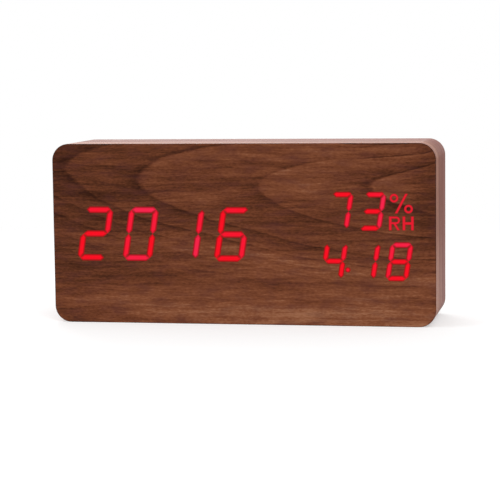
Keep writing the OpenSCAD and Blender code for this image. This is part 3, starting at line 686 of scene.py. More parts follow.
@dataclass(frozen=True)
class WalnutFace(Walnut):
    """Flat-sawn veneer: arches on an upper axis open to the right, and the bands below lie nearly level."""

    axis: Point3 = (22.0, 53.4, 0.00085)
    apex: float = 2.5
    apex_pull: float = 0.55
    arch: tuple[Span, ...] = (((-30, 35), (0.08, 0.22)), ((35, 70), (0.0, 0.28)))
    fall: float = 0.11
    reach: Point2 = (-240.0, 80.0)
    lines: tuple[Point2, ...] = ((-200, 0.5), (-160, 0.6), (-122, 0.7), (-95, 0.6), (-70, 1.0), (-40.5, 1.0),
                                 (6.5, 0.9), (50, 1.0))
    profile: tuple[Point2, ...] = ((-4.5, -0.3), (-0.6, -1.0), (1.0, 0.32))
    between: float = 0.06
    depth_down: Span = ((10, 34), (0.27, 0.13))
    depth_across: Span = ((15, 55), (1.0, 1.5))
    depth_uneven: Span = (MOST, (0.45, 1.25))
    height: Point2 = (0.0, 70.0)
    height_fall: float = 0.03
    levels: tuple[Point2, ...] = ((0, 0.24), (6, 0.28), (9.5, 0.16), (13, 0.08), (17, -0.02), (22, 0.01),
                                  (30, -0.05), (40, -0.10), (52, -0.06), (60, -0.01), (70, 0.03))
    band: Point2 = (26.5, 0.12)
    band_tone: Span = ((1.0, 4.0), (0.15, 0.0))
    left_tone: Span = ((-75, 10), (-0.11, 0.07))
    dark_ends: tuple[tuple[Point2, Point2, float], ...] = (
        ((60, 71), (22, 34), -0.17),
        ((-46, -70), (17, 8), -0.15),
        ((-34, -48), (62, 68), -0.14),
    )
    # painted shade: the rounded front edge gets darker as its normal turns away from the front
    painted_edge_shade: Span = ((-0.98, -0.5), (0.0, -0.3))
    tinted: Span = ((0.45, 0.75), (0.0, 0.5))
    tints: Pattern = Pattern((9, 30, 3.0))
    sway: Pattern = Pattern((60, 40, 26), 5.0, 1.0)
    ripple: Pattern = Pattern((14, 40, 5), 1.2)
    ragged: Pattern = Pattern((5, 40, 1.4), 3.5)
    patches: Pattern = Pattern((22, 40, 9), detail=1.0)
    broad: Pattern = Pattern((70, 40, 6), 0.4, 1.0)

    def draw(self, nodes: Nodes) -> None:
        """Draws year rings, level bands, fibres and painted shade on the rounded front edge.

        Args:
            nodes: The material's nodes.
        """
        place = nodes.place()
        x, _, z = nodes.split(place)
        z = nodes.total(z, nodes.swing(place, self.sway), nodes.swing(place, self.ripple))
        grain = nodes.level(x, z)
        tone, pores = self.fibres(nodes, grain)
        # painted shade on the rounded front edge, taken from how far the normal turns from the front
        _, out, _ = nodes.split(nodes.add("TexCoord", {}, "Normal"))
        rim = nodes.spread(out, *self.painted_edge_shade)
        tone = nodes.total(tone, rim, self.rings(nodes, x, z), self.bands(nodes, x, z))
        self.shade(nodes, tone, pores, nodes.spread(nodes.noise(grain, self.tints), *self.tinted))

    def rings(self, nodes: Nodes, x: Socket, z: Socket) -> Socket:
        """Draws the year rings, which bend round the axis into arches.

        Args:
            nodes: The material's nodes.
            x: Place across.
            z: Height.

        Returns:
            Their tone about zero.
        """
        side = nodes.less(x, self.axis[0])
        axis = nodes.line(nodes.times(side, side), self.axis[2], self.axis[1])
        apart = nodes.less(z, axis)
        above = nodes.maths("MAXIMUM", apart, 0.0)
        below = nodes.maths("MAXIMUM", nodes.less(axis, z), 0.0)
        arch = nodes.total(*(nodes.spread(x, *span) for span in self.arch))
        fall = nodes.times(below, nodes.times(below, self.fall))
        square = nodes.line(above, nodes.times(above, arch), fall)
        bend = nodes.maths("SQRT", nodes.line(apart, apart, self.apex ** 2))
        place = nodes.level(x, z)
        pulled = nodes.line(bend, -self.apex_pull, self.apex_pull * self.apex)
        ring = nodes.total(nodes.less(x, square), pulled, nodes.swing(place, self.ragged))
        stops = []
        for (line, depth), (after, _) in zip(self.lines, (*self.lines[1:], (self.reach[1], 0.0))):
            stops += [(line + step, tone * depth) for step, tone in self.profile]
            stops.append(((line + after) / 2, self.between))
        depth = nodes.times(nodes.spread(below, *self.depth_down), nodes.spread(x, *self.depth_across))
        uneven = nodes.spread(nodes.noise(place, self.patches), *self.depth_uneven)
        return nodes.times(self.tones(nodes, ring, self.reach, stops), nodes.times(depth, uneven))

    def bands(self, nodes: Nodes, x: Socket, z: Socket) -> Socket:
        """Draws the broad tone: lighter below, one pale band that falls to the right, and dark ends.

        Args:
            nodes: The material's nodes.
            x: Place across.
            z: Height.

        Returns:
            The tone about zero.
        """
        height = self.tones(nodes, nodes.line(x, self.height_fall, z), self.height, self.levels)
        away = nodes.maths("ABSOLUTE", nodes.less(nodes.line(x, self.band[1], z), self.band[0]))
        ends = [nodes.times(nodes.spread(x, across, (0.0, tone)), nodes.spread(z, up, FULL))
                for across, up, tone in self.dark_ends]
        return nodes.total(height, nodes.spread(away, *self.band_tone), nodes.spread(x, *self.left_tone),
                           nodes.swing(nodes.level(x, z), self.broad), *ends)

    @staticmethod
    def tones(nodes: Nodes, value: Socket, reach: Point2, stops: Sequence[Point2]) -> Socket:
        """Gives the tone at a number, between stops.

        Args:
            nodes: The material's nodes.
            value: The number.
            reach: The numbers at the first and the last end.
            stops: Numbers and their tones, from -1 to 1.

        Returns:
            The tone.
        """
        span = reach[1] - reach[0]
        greys = [((at - reach[0]) / span, ((tone + 1) / 2,) * 3 + (1.0,)) for at, tone in stops]
        return nodes.line(nodes.ramp(nodes.spread(value, reach, FULL), greys), 2.0, -1.0)


@dataclass(frozen=True)
class WalnutWrap(Walnut):
    """Walnut film wound round the block, its grain along the winding and a painted highlight as a pale band
    at the front.
    """

    wave: Pattern = Pattern((45, 40, 18), 5.0, 1.0)
    broad: Pattern = Pattern((80, 40, 5.0), 0.7, 1.0)
    calm: float = 0.75
    # painted highlight: the film is paler near the front edge, where that edge catches the light
    front_highlight: Span = ((-12.0, -4.0), (0.18, -0.04))
    tinted: Span = ((-10.0, 6.0), (0.0, 0.55))

    def draw(self, nodes: Nodes) -> None:
        """Draws stripes on the piece's own map, whose U runs round the block, and a painted highlight along
        the front.

        Args:
            nodes: The material's nodes.
        """
        parts = nodes.split(nodes.add("UVMap", {}, uv_map="grain"))
        way, depth, _ = (nodes.times(part, 1 / MM) for part in parts)
        wave = nodes.swing(nodes.level(way, depth), self.wave)
        grain = nodes.level(way, nodes.total(depth, wave))
        tone, pores = self.fibres(nodes, grain)
        # the last term is the painted highlight along the front of the film
        tone = nodes.total(nodes.times(tone, self.calm), nodes.swing(grain, self.broad),
                           nodes.spread(depth, *self.front_highlight))
        self.shade(nodes, tone, pores, nodes.spread(depth, *self.tinted))


@dataclass(frozen=True)
class LitRed(Finish):
    """Red light through the veneer: a bright core, a darker rim and a pinker cast on some bars."""

    core: Colour = srgb(250, 10, 32)
    pink: Colour = srgb(246, 36, 76)
    rim: Colour = srgb(138, 22, 20)
    unlit: Colour = srgb(24, 4, 4)
    rough: float = 0.6
    sheen: float = 0.02
    fade: float = 1.4
    uneven: Pattern = Pattern((3.0, 3.0, 0.8), 0.35)

    def draw(self, nodes: Nodes) -> None:
        """Draws the light from the piece's own attributes.

        Args:
            nodes: The material's nodes.
        """
        lit, pink = (nodes.add("Attribute", {}, "Fac", attribute_name=name) for name in ("lit", "pink"))
        cast = nodes.maths("ADD", pink, nodes.swing(nodes.place(), self.uneven), clamp=True)
        core = nodes.mix(cast, self.core, self.pink)
        glow = nodes.mix(nodes.maths("POWER", lit, self.fade), self.rim, core)
        nodes.set(Base_Color=self.unlit, Roughness=self.rough, Specular_IOR_Level=self.sheen,
                  Emission_Color=glow, Emission_Strength=1.0)


@dataclass(frozen=True)
class Moulded(Finish):
    """Moulded plastic with the fine spark texture of its tool and faint smears."""

    colour: Colour
    rough: float
    texture: float
    depth: float
    strength: float = 0.6
    sheen: float = 0.45
    dark: Point2 = (0.82, 0.0)
    pale: Point2 = (1.12, 0.002)
    smears: Pattern = Pattern((9, 9, 14), detail=3.0, rough=0.6)
    smear_share: float = 0.7
    spark_rough: float = 0.7
    gloss: Point2 = (-0.06, 0.08)

    def draw(self, nodes: Nodes) -> None:
        """Draws smears in colour and gloss, and the texture as relief.

        Args:
            nodes: The material's nodes.
        """
        place = nodes.place()
        smear = nodes.noise(place, self.smears)
        spark = nodes.noise(place, Pattern((self.texture,) * 3, rough=self.spark_rough))
        mixed = nodes.total(nodes.times(smear, self.smear_share), nodes.times(spark, 1 - self.smear_share))
        shades = tuple(zip(MOST, (toned(self.colour, *self.dark), toned(self.colour, *self.pale))))
        nodes.set(Base_Color=nodes.ramp(mixed, shades), Specular_IOR_Level=self.sheen,
                  Roughness=nodes.spread(smear, MOST, [self.rough + g for g in self.gloss]))
        nodes.bump(spark, (self.depth, self.strength))


@dataclass(frozen=True)
class Plated(Finish):
    """Plated metal with fine drawing lines and a faint tarnish."""

    colour: Colour
    tarnish: Colour
    rough: float
    gloss: Point2 = (-0.08, 0.12)
    tarnish_edges: Point2 = (0.35, 0.72)
    clouds: Pattern = Pattern((2.5, 2.5, 2.5), detail=4.0, rough=0.6)
    drawn: Pattern = Pattern((0.12, 3.0, 0.5))
    relief: Point2 = (0.01, 0.25)

    def draw(self, nodes: Nodes) -> None:
        """Draws tarnish in colour and lines in gloss.

        Args:
            nodes: The material's nodes.
        """
        place = nodes.place()
        lines = nodes.noise(place, self.drawn)
        shades = tuple(zip(self.tarnish_edges, (self.colour, self.tarnish)))
        nodes.set(Base_Color=nodes.ramp(nodes.noise(place, self.clouds), shades), Metallic=1.0,
                  Roughness=nodes.spread(lines, MOST, [self.rough + g for g in self.gloss]))
        nodes.bump(lines, self.relief)


@dataclass(frozen=True)
class Fibreboard(Finish):
    """Cut fibreboard: pale felted fibres with darker flecks."""

    shades: Stops = ((0.35, srgb(104, 72, 46)), (0.5, srgb(150, 112, 74)), (0.65, srgb(178, 140, 98)))
    rough: float = 0.85
    sheen: float = 0.2
    felt: Pattern = Pattern((0.5, 1.1, 0.5), detail=4.0, rough=0.65)
    flecks: Pattern = Pattern((0.35, 2.2, 0.2))
    felt_share: float = 0.6
    relief: Point2 = (0.08, 0.6)

    def draw(self, nodes: Nodes) -> None:
        """Draws felt and flecks.

        Args:
            nodes: The material's nodes.
        """
        felt, fleck = (nodes.noise(nodes.place(), pattern) for pattern in (self.felt, self.flecks))
        tone = nodes.total(nodes.times(felt, self.felt_share), nodes.times(fleck, 1 - self.felt_share))
        colour = nodes.ramp(tone, self.shades)
        nodes.set(Base_Color=colour, Roughness=self.rough, Specular_IOR_Level=self.sheen)
        nodes.bump(tone, self.relief)


@dataclass(frozen=True)
class CircuitBoard(Finish):
    """Green lacquered board with paler tracks under the lacquer and tinned spots."""

    lacquer: Stops = ((0.3, srgb(12, 62, 36)), (0.7, srgb(20, 84, 50)))
    track: Colour = srgb(46, 122, 74)
    tin: Colour = srgb(200, 196, 184)
    rough: float = 0.35
    cells: float = 0.22
    track_edges: Point2 = (0.05, 0.08)
    spot_edges: Point2 = (0.12, 0.16)
    cloth: Pattern = Pattern((0.6, 0.6, 0.6))
    relief: Point2 = (0.03, 0.5)

    def draw(self, nodes: Nodes) -> None:
        """Draws tracks between cells and a spot in the middle of some.

        Args:
            nodes: The material's nodes.
        """
        place = nodes.place()
        x, _, z = nodes.split(place)
        feeds = {"Vector": nodes.add("CombineXYZ", {0: x, 1: z}), "Scale": self.cells}
        edge, middle = (nodes.add("TexVoronoi", feeds, feature=kind, voronoi_dimensions="2D")
                        for kind in ("DISTANCE_TO_EDGE", "F1"))
        track = nodes.spread(edge, self.track_edges, FULL[::-1])
        spot = nodes.spread(middle, self.spot_edges, FULL[::-1])
        green = nodes.mix(track, nodes.ramp(nodes.noise(place, self.cloth), self.lacquer), self.track)
        nodes.set(Base_Color=nodes.mix(spot, green, self.tin), Metallic=spot, Roughness=self.rough)
        nodes.bump(nodes.maths("MAXIMUM", track, spot), self.relief)


@dataclass(frozen=True)
class Jacket(Finish):
    """Printed shrink film or insulation, glossy with faint drag marks."""

    colour: Colour
    metal: float = 0.0
    dark: float = 0.8
    drag_edges: Point2 = (0.35, 0.65)
    gloss: Span = (MOST, (0.2, 0.34))
    drag: Pattern = Pattern((14, 1.2, 1.2), detail=3.0, rough=0.6)
    relief: Point2 = (0.02, 0.3)

    def draw(self, nodes: Nodes) -> None:
        """Draws drag marks along X.

        Args:
            nodes: The material's nodes.
        """
        drag = nodes.noise(nodes.place(), self.drag)
        shades = tuple(zip(self.drag_edges, (toned(self.colour, self.dark), self.colour)))
        nodes.set(Base_Color=nodes.ramp(drag, shades), Metallic=self.metal,
                  Roughness=nodes.spread(drag, *self.gloss))
        nodes.bump(drag, self.relief)


@dataclass(frozen=True)
class Ribbon(Finish):
    """Flat ribbon cable: grey insulation with a groove between its conductors, darkened there as painted
    shade.
    """

    pitch: float = 1.27
    groove: float = 0.3
    shades: Stops = ((0.0, srgb(116, 116, 118)), (1.0, srgb(186, 186, 184)))
    rough: float = 0.5
    dirt: Pattern = Pattern((4, 4, 4), detail=3.0)
    dirt_tone: Span = (MOST, (0.8, 1.0))
    relief: Point2 = (0.15, 0.7)

    def draw(self, nodes: Nodes) -> None:
        """Draws one groove for each conductor, as relief and as painted shade in its colour.

        Args:
            nodes: The material's nodes.
        """
        place = nodes.place()
        across = nodes.maths("PINGPONG", nodes.split(place)[0], self.pitch / 2)
        groove = nodes.spread(across, (0.0, self.groove), FULL)
        # painted shade: the colour is darker down in each groove
        tone = nodes.times(groove, nodes.spread(nodes.noise(place, self.dirt), *self.dirt_tone))
        nodes.set(Base_Color=nodes.ramp(tone, self.shades), Roughness=self.rough)
        nodes.bump(groove, self.relief)


class Finishes(Enum):
    """Every finish on the clock."""

    FACE = WalnutFace("walnut_face")
    WRAP = WalnutWrap("walnut_wrap", rough=0.5, sheen=0.15, tint=srgb(134, 76, 67), shades=(
        (0.10, srgb(93, 52, 37)), (0.50, srgb(138, 82, 61)), (0.90, srgb(184, 127, 103))))
    LIT = LitRed("lit_red")
    SIGN = LitRed("lit_red_sign", core=srgb(228, 24, 40), pink=srgb(220, 36, 64), rim=srgb(134, 32, 26))
    BOARD = Fibreboard("cut_fibreboard")
    COVER = Moulded("cover_plastic", srgb(34, 34, 36), 0.48, 0.45, 0.04)
    BUTTON = Moulded("button_plastic", srgb(52, 52, 55), 0.4, 0.3, 0.02)
    PAINT = Moulded("mark_paint", srgb(206, 206, 202), 0.5, 0.25, 0.01)
    JACK = Moulded("jack_plastic", srgb(20, 20, 21), 0.3, 0.5, 0.02)
    BRASS = Plated("jack_contact", srgb(214, 176, 104), srgb(180, 140, 84), 0.25)
    SCREW = Plated("screw_steel", srgb(196, 196, 198), srgb(156, 154, 150), 0.26)
    CONTACT = Plated("contact_steel", srgb(214, 212, 206), srgb(184, 178, 164), 0.2)
    CAN = Plated("metal_can", srgb(200, 202, 206), srgb(172, 172, 174), 0.3)
    JACKET = Jacket("cell_jacket", srgb(30, 31, 34))
    BAND = Jacket("cell_band", srgb(206, 142, 62), 0.6)
    CHIP = Moulded("chip_resin", srgb(36, 37, 39), 0.6, 0.2, 0.03)
    SWITCH = Moulded("switch_plastic", srgb(24, 24, 26), 0.5, 0.4, 0.02)
    SLEEVE = Moulded("capacitor_sleeve", srgb(26, 32, 70), 0.3, 0.8, 0.02)
    MASK = Moulded("mask_plastic", srgb(224, 224, 220), 0.5, 0.4, 0.03)
    SOCKET = Moulded("socket_plastic", srgb(226, 218, 192), 0.45, 0.5, 0.02)
    SENSOR = Moulded("sensor_plastic", srgb(218, 222, 226), 0.5, 0.4, 0.02)
    DIFFUSER = Moulded("diffuser", srgb(232, 230, 226), 0.6, 0.3, 0.01)
    LAMP = Moulded("lamp_resin", srgb(232, 150, 140), 0.25, 0.5, 0.01)
    CIRCUIT = CircuitBoard("circuit_board")
    RIBBON = Ribbon("ribbon")
    RED_WIRE = Jacket("red_wire", srgb(176, 26, 24))
    BLACK_WIRE = Jacket("black_wire", srgb(28, 28, 28))


def paint(bench: Bench, *finishes: Finishes) -> None:
    """Gives a mesh its finishes, in the order of its faces' slots."""
    for finish in finishes:
        bench.obj.data.materials.append(finish.value.material())


def hand_over(bench: Bench, body: Body, slot: str, node: str, *finishes: Finishes) -> None:
    """Dresses a finished piece, puts it on its body and lets it stand for a CAD node.

    Args:
        bench: The piece.
        body: The body that it rides on.
        slot: Name of the slot for its finish; not used.
        node: The CAD node that it stands for.
        finishes: Its finishes, where it isn't painted yet.
    """
    bench.clear()
    paint(bench, *finishes)
    piece = bench.obj
    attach(piece, body.value)
    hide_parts(node)
    LOG.info("%s: %d faces, on %s", piece.name, len(piece.data.polygons), body.value)


@dataclass
class WoodBlock:
    """The fibreboard block with its veneered face and the film round its sides."""

    width: float = 150.0
    height: float = 70.0
    face_y: float = -20.0
    veneer_y: float = -19.4
    back_y: float = 20.0
    corner: float = 6.5
    rim: float = 3.2
    film: float = 0.4
    front_round: float = 0.45
    back_round: float = 0.6
    seam: float = 0.06
    corner_steps: int = 14
    crease: float = 30.0

    def slab(self, name: str, ends: Point2) -> Bench:
        """Makes the block's outline with its round corners, between two ends in Y."""
        slab = Bench.block(name, (0.0, self.height / 2), (self.width / 2, self.height / 2), ends)
        return slab.ease_sides(self.corner, self.corner_steps)

    def build_face(self, windows: Bench) -> None:
        """Makes the veneer with a softened edge and a window for each lit piece.

        Args:
            windows: The shapes to cut out.
        """
        face = self.slab("face_veneer", (self.face_y, self.veneer_y))
        face.ease_rim(self.face_y, self.front_round, steps=5).ease_rim(self.veneer_y, self.seam, steps=1)
        face.cut(windows).smooth(self.crease)
        hand_over(face, Body.CASE, "walnut_veneer", "front_veneer", Finishes.FACE)

    def build_wrap(self) -> None:
        """Makes the film, turned over the back rim, and maps its grain round the block."""
        wrap = self.slab("walnut_wrap", (self.veneer_y, self.back_y))
        wrap.end(-1).drop()
        wrap.end(1).inset(self.rim).drop()
        outer = both(level(Axis.Y, self.back_y), lambda edge: not edge.is_boundary, self.on_outline)
        wrap.pick(Part.EDGE, outer).bevel(self.back_round, steps=4)
        wrap.change("SOLIDIFY", thickness=self.film * MM, offset=-1.0, use_even_offset=True)
        wrap.smooth(self.crease)
        self.map_grain(wrap.obj.data)
        hand_over(wrap, Body.CASE, "walnut_film", "wrap_film", Finishes.WRAP)

    def on_outline(self, edge: object) -> bool:
        """Tells whether an edge lies on the block's outer outline."""
        return all(self.depth_in(v.co.x / MM, v.co.z / MM) < NEAR for v in edge.verts)

    def past_corner(self, x: float, z: float) -> Vector:
        """Gives how far a point lies beyond the middles of the corner roundings."""
        half = self.height / 2
        return Vector((abs(x) - self.width / 2 + self.corner, abs(z - half) - half + self.corner))

    def depth_in(self, x: float, z: float) -> float:
        """Gives the depth of a point below the block's outline."""
        past = self.past_corner(x, z)
        return self.corner - (past.length if min(past) > 0 else max(past))

    def distance_round(self, x: float, z: float) -> float:
        """Gives the way round the outline to a point, from the middle of the top to both sides.

        Args:
            x: Place across.
            z: Height.

        Returns:
            The way in millimetres, below zero on the left half.
        """
        past = self.past_corner(x, z)
        flat, side = self.width / 2 - self.corner, self.height - 2 * self.corner
        turn = self.corner * math.pi / 2
        upper = z > self.height / 2
        if min(past) > 0:
            angle = math.atan2(past.x, past.y) / (math.pi / 2)
            way = flat + turn * angle if upper else flat + turn + side + turn * (1 - angle)
        elif past.y > past.x:
            way = abs(x) if upper else 2 * flat + 2 * turn + side - abs(x)
        else:
            way = flat + turn + self.height - self.corner - z
        return math.copysign(way, x)

    def map_grain(self, mesh: bpy.types.Mesh) -> None:
        """Writes the map that the film's grain follows: the way round and the depth over the rim.

        Args:
            mesh: The film's mesh.
        """
        layer = mesh.uv_layers.new(name="grain")
        for face in mesh.polygons:
            for loop in face.loop_indices:
                x, y, z = (c / MM for c in mesh.vertices[mesh.loops[loop].vertex_index].co)
                way = x if z > self.height - NEAR else self.distance_round(x, z)
                way = -x if face.center.z < NEAR + self.film * MM else way
                layer.data[loop].uv = (way * MM, (y + self.depth_in(x, z)) * MM)


class Bar(Enum):
    """The seven bars of a figure."""

    TOP = 0
    UPPER_RIGHT = 1
    LOWER_RIGHT = 2
    BOTTOM = 3
    LOWER_LEFT = 4
    UPPER_LEFT = 5
    MIDDLE = 6


JOINTS_OF = {
    Bar.TOP: ((-1, 1), (1, 1)),
    Bar.UPPER_RIGHT: ((1, 1), (1, 0)),
    Bar.LOWER_RIGHT: ((1, 0), (1, -1)),
    Bar.BOTTOM: ((-1, -1), (1, -1)),
    Bar.LOWER_LEFT: ((-1, -1), (-1, 0)),
    Bar.UPPER_LEFT: ((-1, 0), (-1, 1)),
    Bar.MIDDLE: ((-1, 0), (1, 0)),
}
BARS_OF = {"0": (0, 1, 2, 3, 4, 5), "1": (1, 2), "2": (0, 1, 3, 4, 6), "3": (0, 1, 2, 3, 6),
           "4": (1, 2, 5, 6), "6": (0, 2, 3, 4, 5, 6), "7": (0, 1, 2), "8": (0, 1, 2, 3, 4, 5, 6)}


@dataclass(frozen=True)
class FigureSize:
    """Width, height, bar width and corner cut of a figure, and the width of its soft edge."""

    width: float
    height: float
    bar: float
    cut: float
    edge: float
    gap: float = 0.04

    def outlines(self) -> dict[Bar, list[Point2]]:
        """Gives each bar's upright outline about the figure's middle.

        Returns:
            The outlines.
        """
        u, v, t = (self.width - self.bar) / 2, (self.height - self.bar) / 2, self.bar / 2
        k, m = t - self.cut / 2, u - self.gap
        half = [(u - t - self.gap, v - t), (u + k - self.gap, v + k), (u + t - self.cut, v + t)]
        top = half + [(-x, z) for x, z in reversed(half)]
        side = [(u + t, v + t - self.cut), (u + k, v + k - self.gap), (u - t, v - t - self.gap),
                (u - t, t + self.gap), (u, self.gap), (u + t, t + self.gap)]
        low_side = [(x, -z) for x, z in side]
        return {Bar.TOP: top, Bar.UPPER_RIGHT: side, Bar.LOWER_RIGHT: low_side,
                Bar.BOTTOM: [(x, -z) for x, z in top], Bar.LOWER_LEFT: [(-x, z) for x, z in low_side],
                Bar.UPPER_LEFT: [(-x, z) for x, z in side],
                Bar.MIDDLE: [(m - t, -t), (m, 0), (m - t, t), (t - m, t), (-m, 0), (t - m, -t)]}

    def joint(self, side: int, end: int) -> Point2:
        """Gives the upright place where bars meet, by its side and end of the figure."""
        k = (self.bar - self.cut) / 2
        return side * ((self.width - self.bar) / 2 + abs(end) * k), end * ((self.height - self.bar) / 2 + k)


LARGE = FigureSize(12.15, 21.25, 2.6, 2.3, 0.8)
SMALL = FigureSize(9.05, 14.95, 2.2, 1.85, 0.68)


@dataclass(frozen=True)
class Row:
    """A row of lit figures: its CAD node, first middle, pitch, size and the pink cast of its bars."""

    node: str
    figures: str
    first: Point2
    pitch: float
    size: FigureSize
    cast: tuple[dict[Bar, float], ...]


@dataclass
class Display:
    """The lit figures and the humidity sign that shine through the veneer."""

    face_y: float = -20.0
    back_y: float = -19.4
    slant: float = 9.1
    easing: float = 0.2
    crease: float = 30.0
    dot_row: str = "lit_date_figures"
    dot: Point2 = (41.4, 21.7)
    dot_r: float = 1.05
    dot_pink: float = 0.1
    percent: Point2 = (61.9, 47.1)
    letters_z: float = 39.6
    sign_w: float = 9.6
    percent_h: float = 7.6
    letters_h: float = 5.4
    letter_w: float = 4.4
    stroke: float = 1.2
    ring_r: float = 1.75
    ring_stroke: float = 1.0
    ring_inset: float = 0.3
    lean: float = 28.0
    bowl_r: float = 1.55
    bowl_stroke: float = 0.95
    leg_rise: float = 0.3
    overlap: float = 0.5
    sign_edge: float = 0.26
    sign_pink: float = 0.2
    joint_light: float = 0.62
    joint_reach: float = 1.0
    rows: tuple[Row, ...] = (
        Row("lit_year_figures", "2016", (-58.0, 35.0), 18.2, LARGE, (
            {Bar.TOP: 0.25, Bar.UPPER_RIGHT: 0.2},
            {Bar.TOP: 1.0, Bar.UPPER_RIGHT: 0.45, Bar.UPPER_LEFT: 0.4, Bar.BOTTOM: 0.6, Bar.LOWER_LEFT: 0.3},
            {Bar.UPPER_RIGHT: 0.35, Bar.LOWER_RIGHT: 0.85},
            {Bar.TOP: 0.2, Bar.LOWER_RIGHT: 0.3, Bar.MIDDLE: 0.2})),
        Row("lit_humidity_figures", "73", (38.4, 44.1), 12.5, SMALL, (
            {Bar.UPPER_RIGHT: 0.3, Bar.LOWER_RIGHT: 0.5},
            {Bar.UPPER_RIGHT: 0.95, Bar.LOWER_RIGHT: 0.7, Bar.TOP: 0.2})),
        Row("lit_date_figures", "418", (36.1, 25.0), 12.5, SMALL, (
            {Bar.UPPER_RIGHT: 0.2},
            {Bar.UPPER_RIGHT: 0.2, Bar.LOWER_RIGHT: 0.1},
            {Bar.TOP: 0.7, Bar.UPPER_LEFT: 0.5, Bar.UPPER_RIGHT: 0.3, Bar.LOWER_LEFT: 0.3})),
    )

    @property
    def ends(self) -> Point2:
        """Front and back of the lit pieces."""
        return (self.face_y, self.back_y)

    @property
    def through(self) -> Point2:
        """Ends of a tool that runs through the lit pieces."""
        return (self.face_y - PAST, self.back_y + PAST)

    @property
    def slope(self) -> float:
        """How far a figure leans for each millimetre of height."""
        return math.tan(math.radians(self.slant))

    @staticmethod
    def soften(bench: Bench, width: float) -> Bench:
        """Draws a border inside the front faces and marks what it encloses as fully lit.

        Args:
            bench: The lit shape.
            width: Width of the border.

        Returns:
            The lit shape.
        """
        bench.end(-1).inset(width)
        bench.clear()
        return bench.mark("lit", lambda corner: float(corner.select))

    def bars(self, size: FigureSize) -> dict[Bar, Bench]:
        """Makes the seven bars of a figure at the origin.

        Args:
            size: The figure's sizes.

        Returns:
            The bars.
        """
        made = {}
        for bar, outline in size.outlines().items():
            bench = Bench.prism("bar", [(x + z * self.slope, z) for x, z in outline], self.ends)
            made[bar] = self.soften(bench, size.edge).ease_sides(self.easing, 4, kind="ABSOLUTE")
        return made

    def build_row(self, row: Row, bars: dict[Bar, Bench], extra: Sequence[Bench]) -> Bench:
        """Copies bars into the figures of a row.

        Args:
            row: The row.
            bars: The bars at the origin.
            extra: Other lit shapes that belong to the row.

        Returns:
            The row as one piece.
        """
        lit = list(extra)
        for place, figure in enumerate(row.figures):
            middle = (row.first[0] + place * row.pitch, row.first[1])
            shown = [Bar(number) for number in BARS_OF[figure]]
            ends = [joint for bar in shown for joint in JOINTS_OF[bar]]
            for bar in shown:
                pink = row.cast[place].get(bar, 0.0)
                shared = [row.size.joint(*joint) for joint in JOINTS_OF[bar] if ends.count(joint) > 1]
                copy = bars[bar].copy("bar", middle[0], 0.0, middle[1])
                lit.append(self.run_on(copy.mark("pink", lambda corner, pink=pink: pink), middle, shared))
        return Bench.gather(row.node.replace("lit_", "glow_"), lit)

    def run_on(self, bar: Bench, middle: Point2, joints: Sequence[Point2]) -> Bench:
        """Lets the light run on to the end of a bar where it meets another lit one.

        Args:
            bar: The bar in its place.
            middle: The middle of its figure.
            joints: The upright places where it meets others.

        Returns:
            The bar.
        """
        places = [(middle[0] + x + z * self.slope, middle[1] + z) for x, z in joints]
        lit = bar.obj.data.attributes["lit"].data

        def value(corner: object) -> float:
            """Keeps the corner's light, or raises it near a joint."""
            near = any(math.dist((corner.co / MM).xz, place) < self.joint_reach for place in places)
            return max(lit[corner.index].value, self.joint_light if near else 0.0)

        return bar.mark("lit", value)

    def ring(self, *middle: float) -> Bench:
        """Makes a ring of the per cent sign."""
        hole = Bench.rod("tool", middle, self.through, self.ring_r - self.ring_stroke, Sides.FINE)
        return Bench.rod("ring", middle, self.ends, self.ring_r, Sides.SMALL).cut(hole)

    def build_sign(self) -> Bench:
        """Makes the per cent sign over two letters.

        Returns:
            The sign as one piece.
        """
        x, z = self.percent
        ring_x = self.sign_w / 2 - self.ring_r - self.ring_inset
        ring_z = self.percent_h / 2 - self.ring_r
        reach, half = self.percent_h / 2 * math.tan(math.radians(self.lean)), self.stroke / 2
        low, high = z - self.percent_h / 2, z + self.percent_h / 2
        stroke = Bench.prism("stroke", [(x - reach - half, low), (x - reach + half, low),
                                        (x + reach + half, high), (x + reach - half, high)], self.ends)
        shapes = [stroke, self.ring(x - ring_x, z + ring_z), self.ring(x + ring_x, z - ring_z),
                  self.letter_r(x - self.sign_w / 2), self.letter_h(x + self.sign_w / 2 - self.letter_w)]
        sign = Bench.gather("glow_humidity_sign", [self.soften(s.tidy(), self.sign_edge) for s in shapes])
        return sign.mark("pink", lambda corner: self.sign_pink)

    def plate(self, left: float, low: float, width: float, height: float) -> Bench:
        """Makes an upright strip of a letter."""
        return Bench.box("strip", (left, self.face_y, low), (left + width, self.back_y, low + height))

    def letter_r(self, left: float) -> Bench:
        """Makes the first letter: a stem, a bowl and a leg.

        Args:
            left: Its left side.

        Returns:
            The letter.
        """
        low, high = self.letters_z - self.letters_h / 2, self.letters_z + self.letters_h / 2
        bowl = (left + self.letter_w - self.bowl_r, high - self.bowl_r)
        letter = Bench.rod("letter", bowl, self.ends, self.bowl_r, Sides.SMALL)
        letter.weld(self.plate(left, bowl[1] - self.bowl_r, bowl[0] - left, 2 * self.bowl_r))
        right, foot = left + self.letter_w, bowl[1] - self.bowl_r + self.leg_rise
        middle, half = left + self.letter_w / 2, self.stroke / 2
        leg = [(right - self.stroke, low), (right, low), (middle + half, foot), (middle - half, foot)]
        letter.weld(Bench.prism("leg", leg, self.ends), self.plate(left, low, self.stroke, self.letters_h))
        hole_r, (front, back) = self.bowl_r - self.bowl_stroke, self.through
        slot = Bench.box("tool", (left + self.stroke, front, bowl[1] - hole_r),
                         (bowl[0], back, bowl[1] + hole_r))
        return letter.cut(Bench.rod("tool", bowl, self.through, hole_r, Sides.FINE).weld(slot))

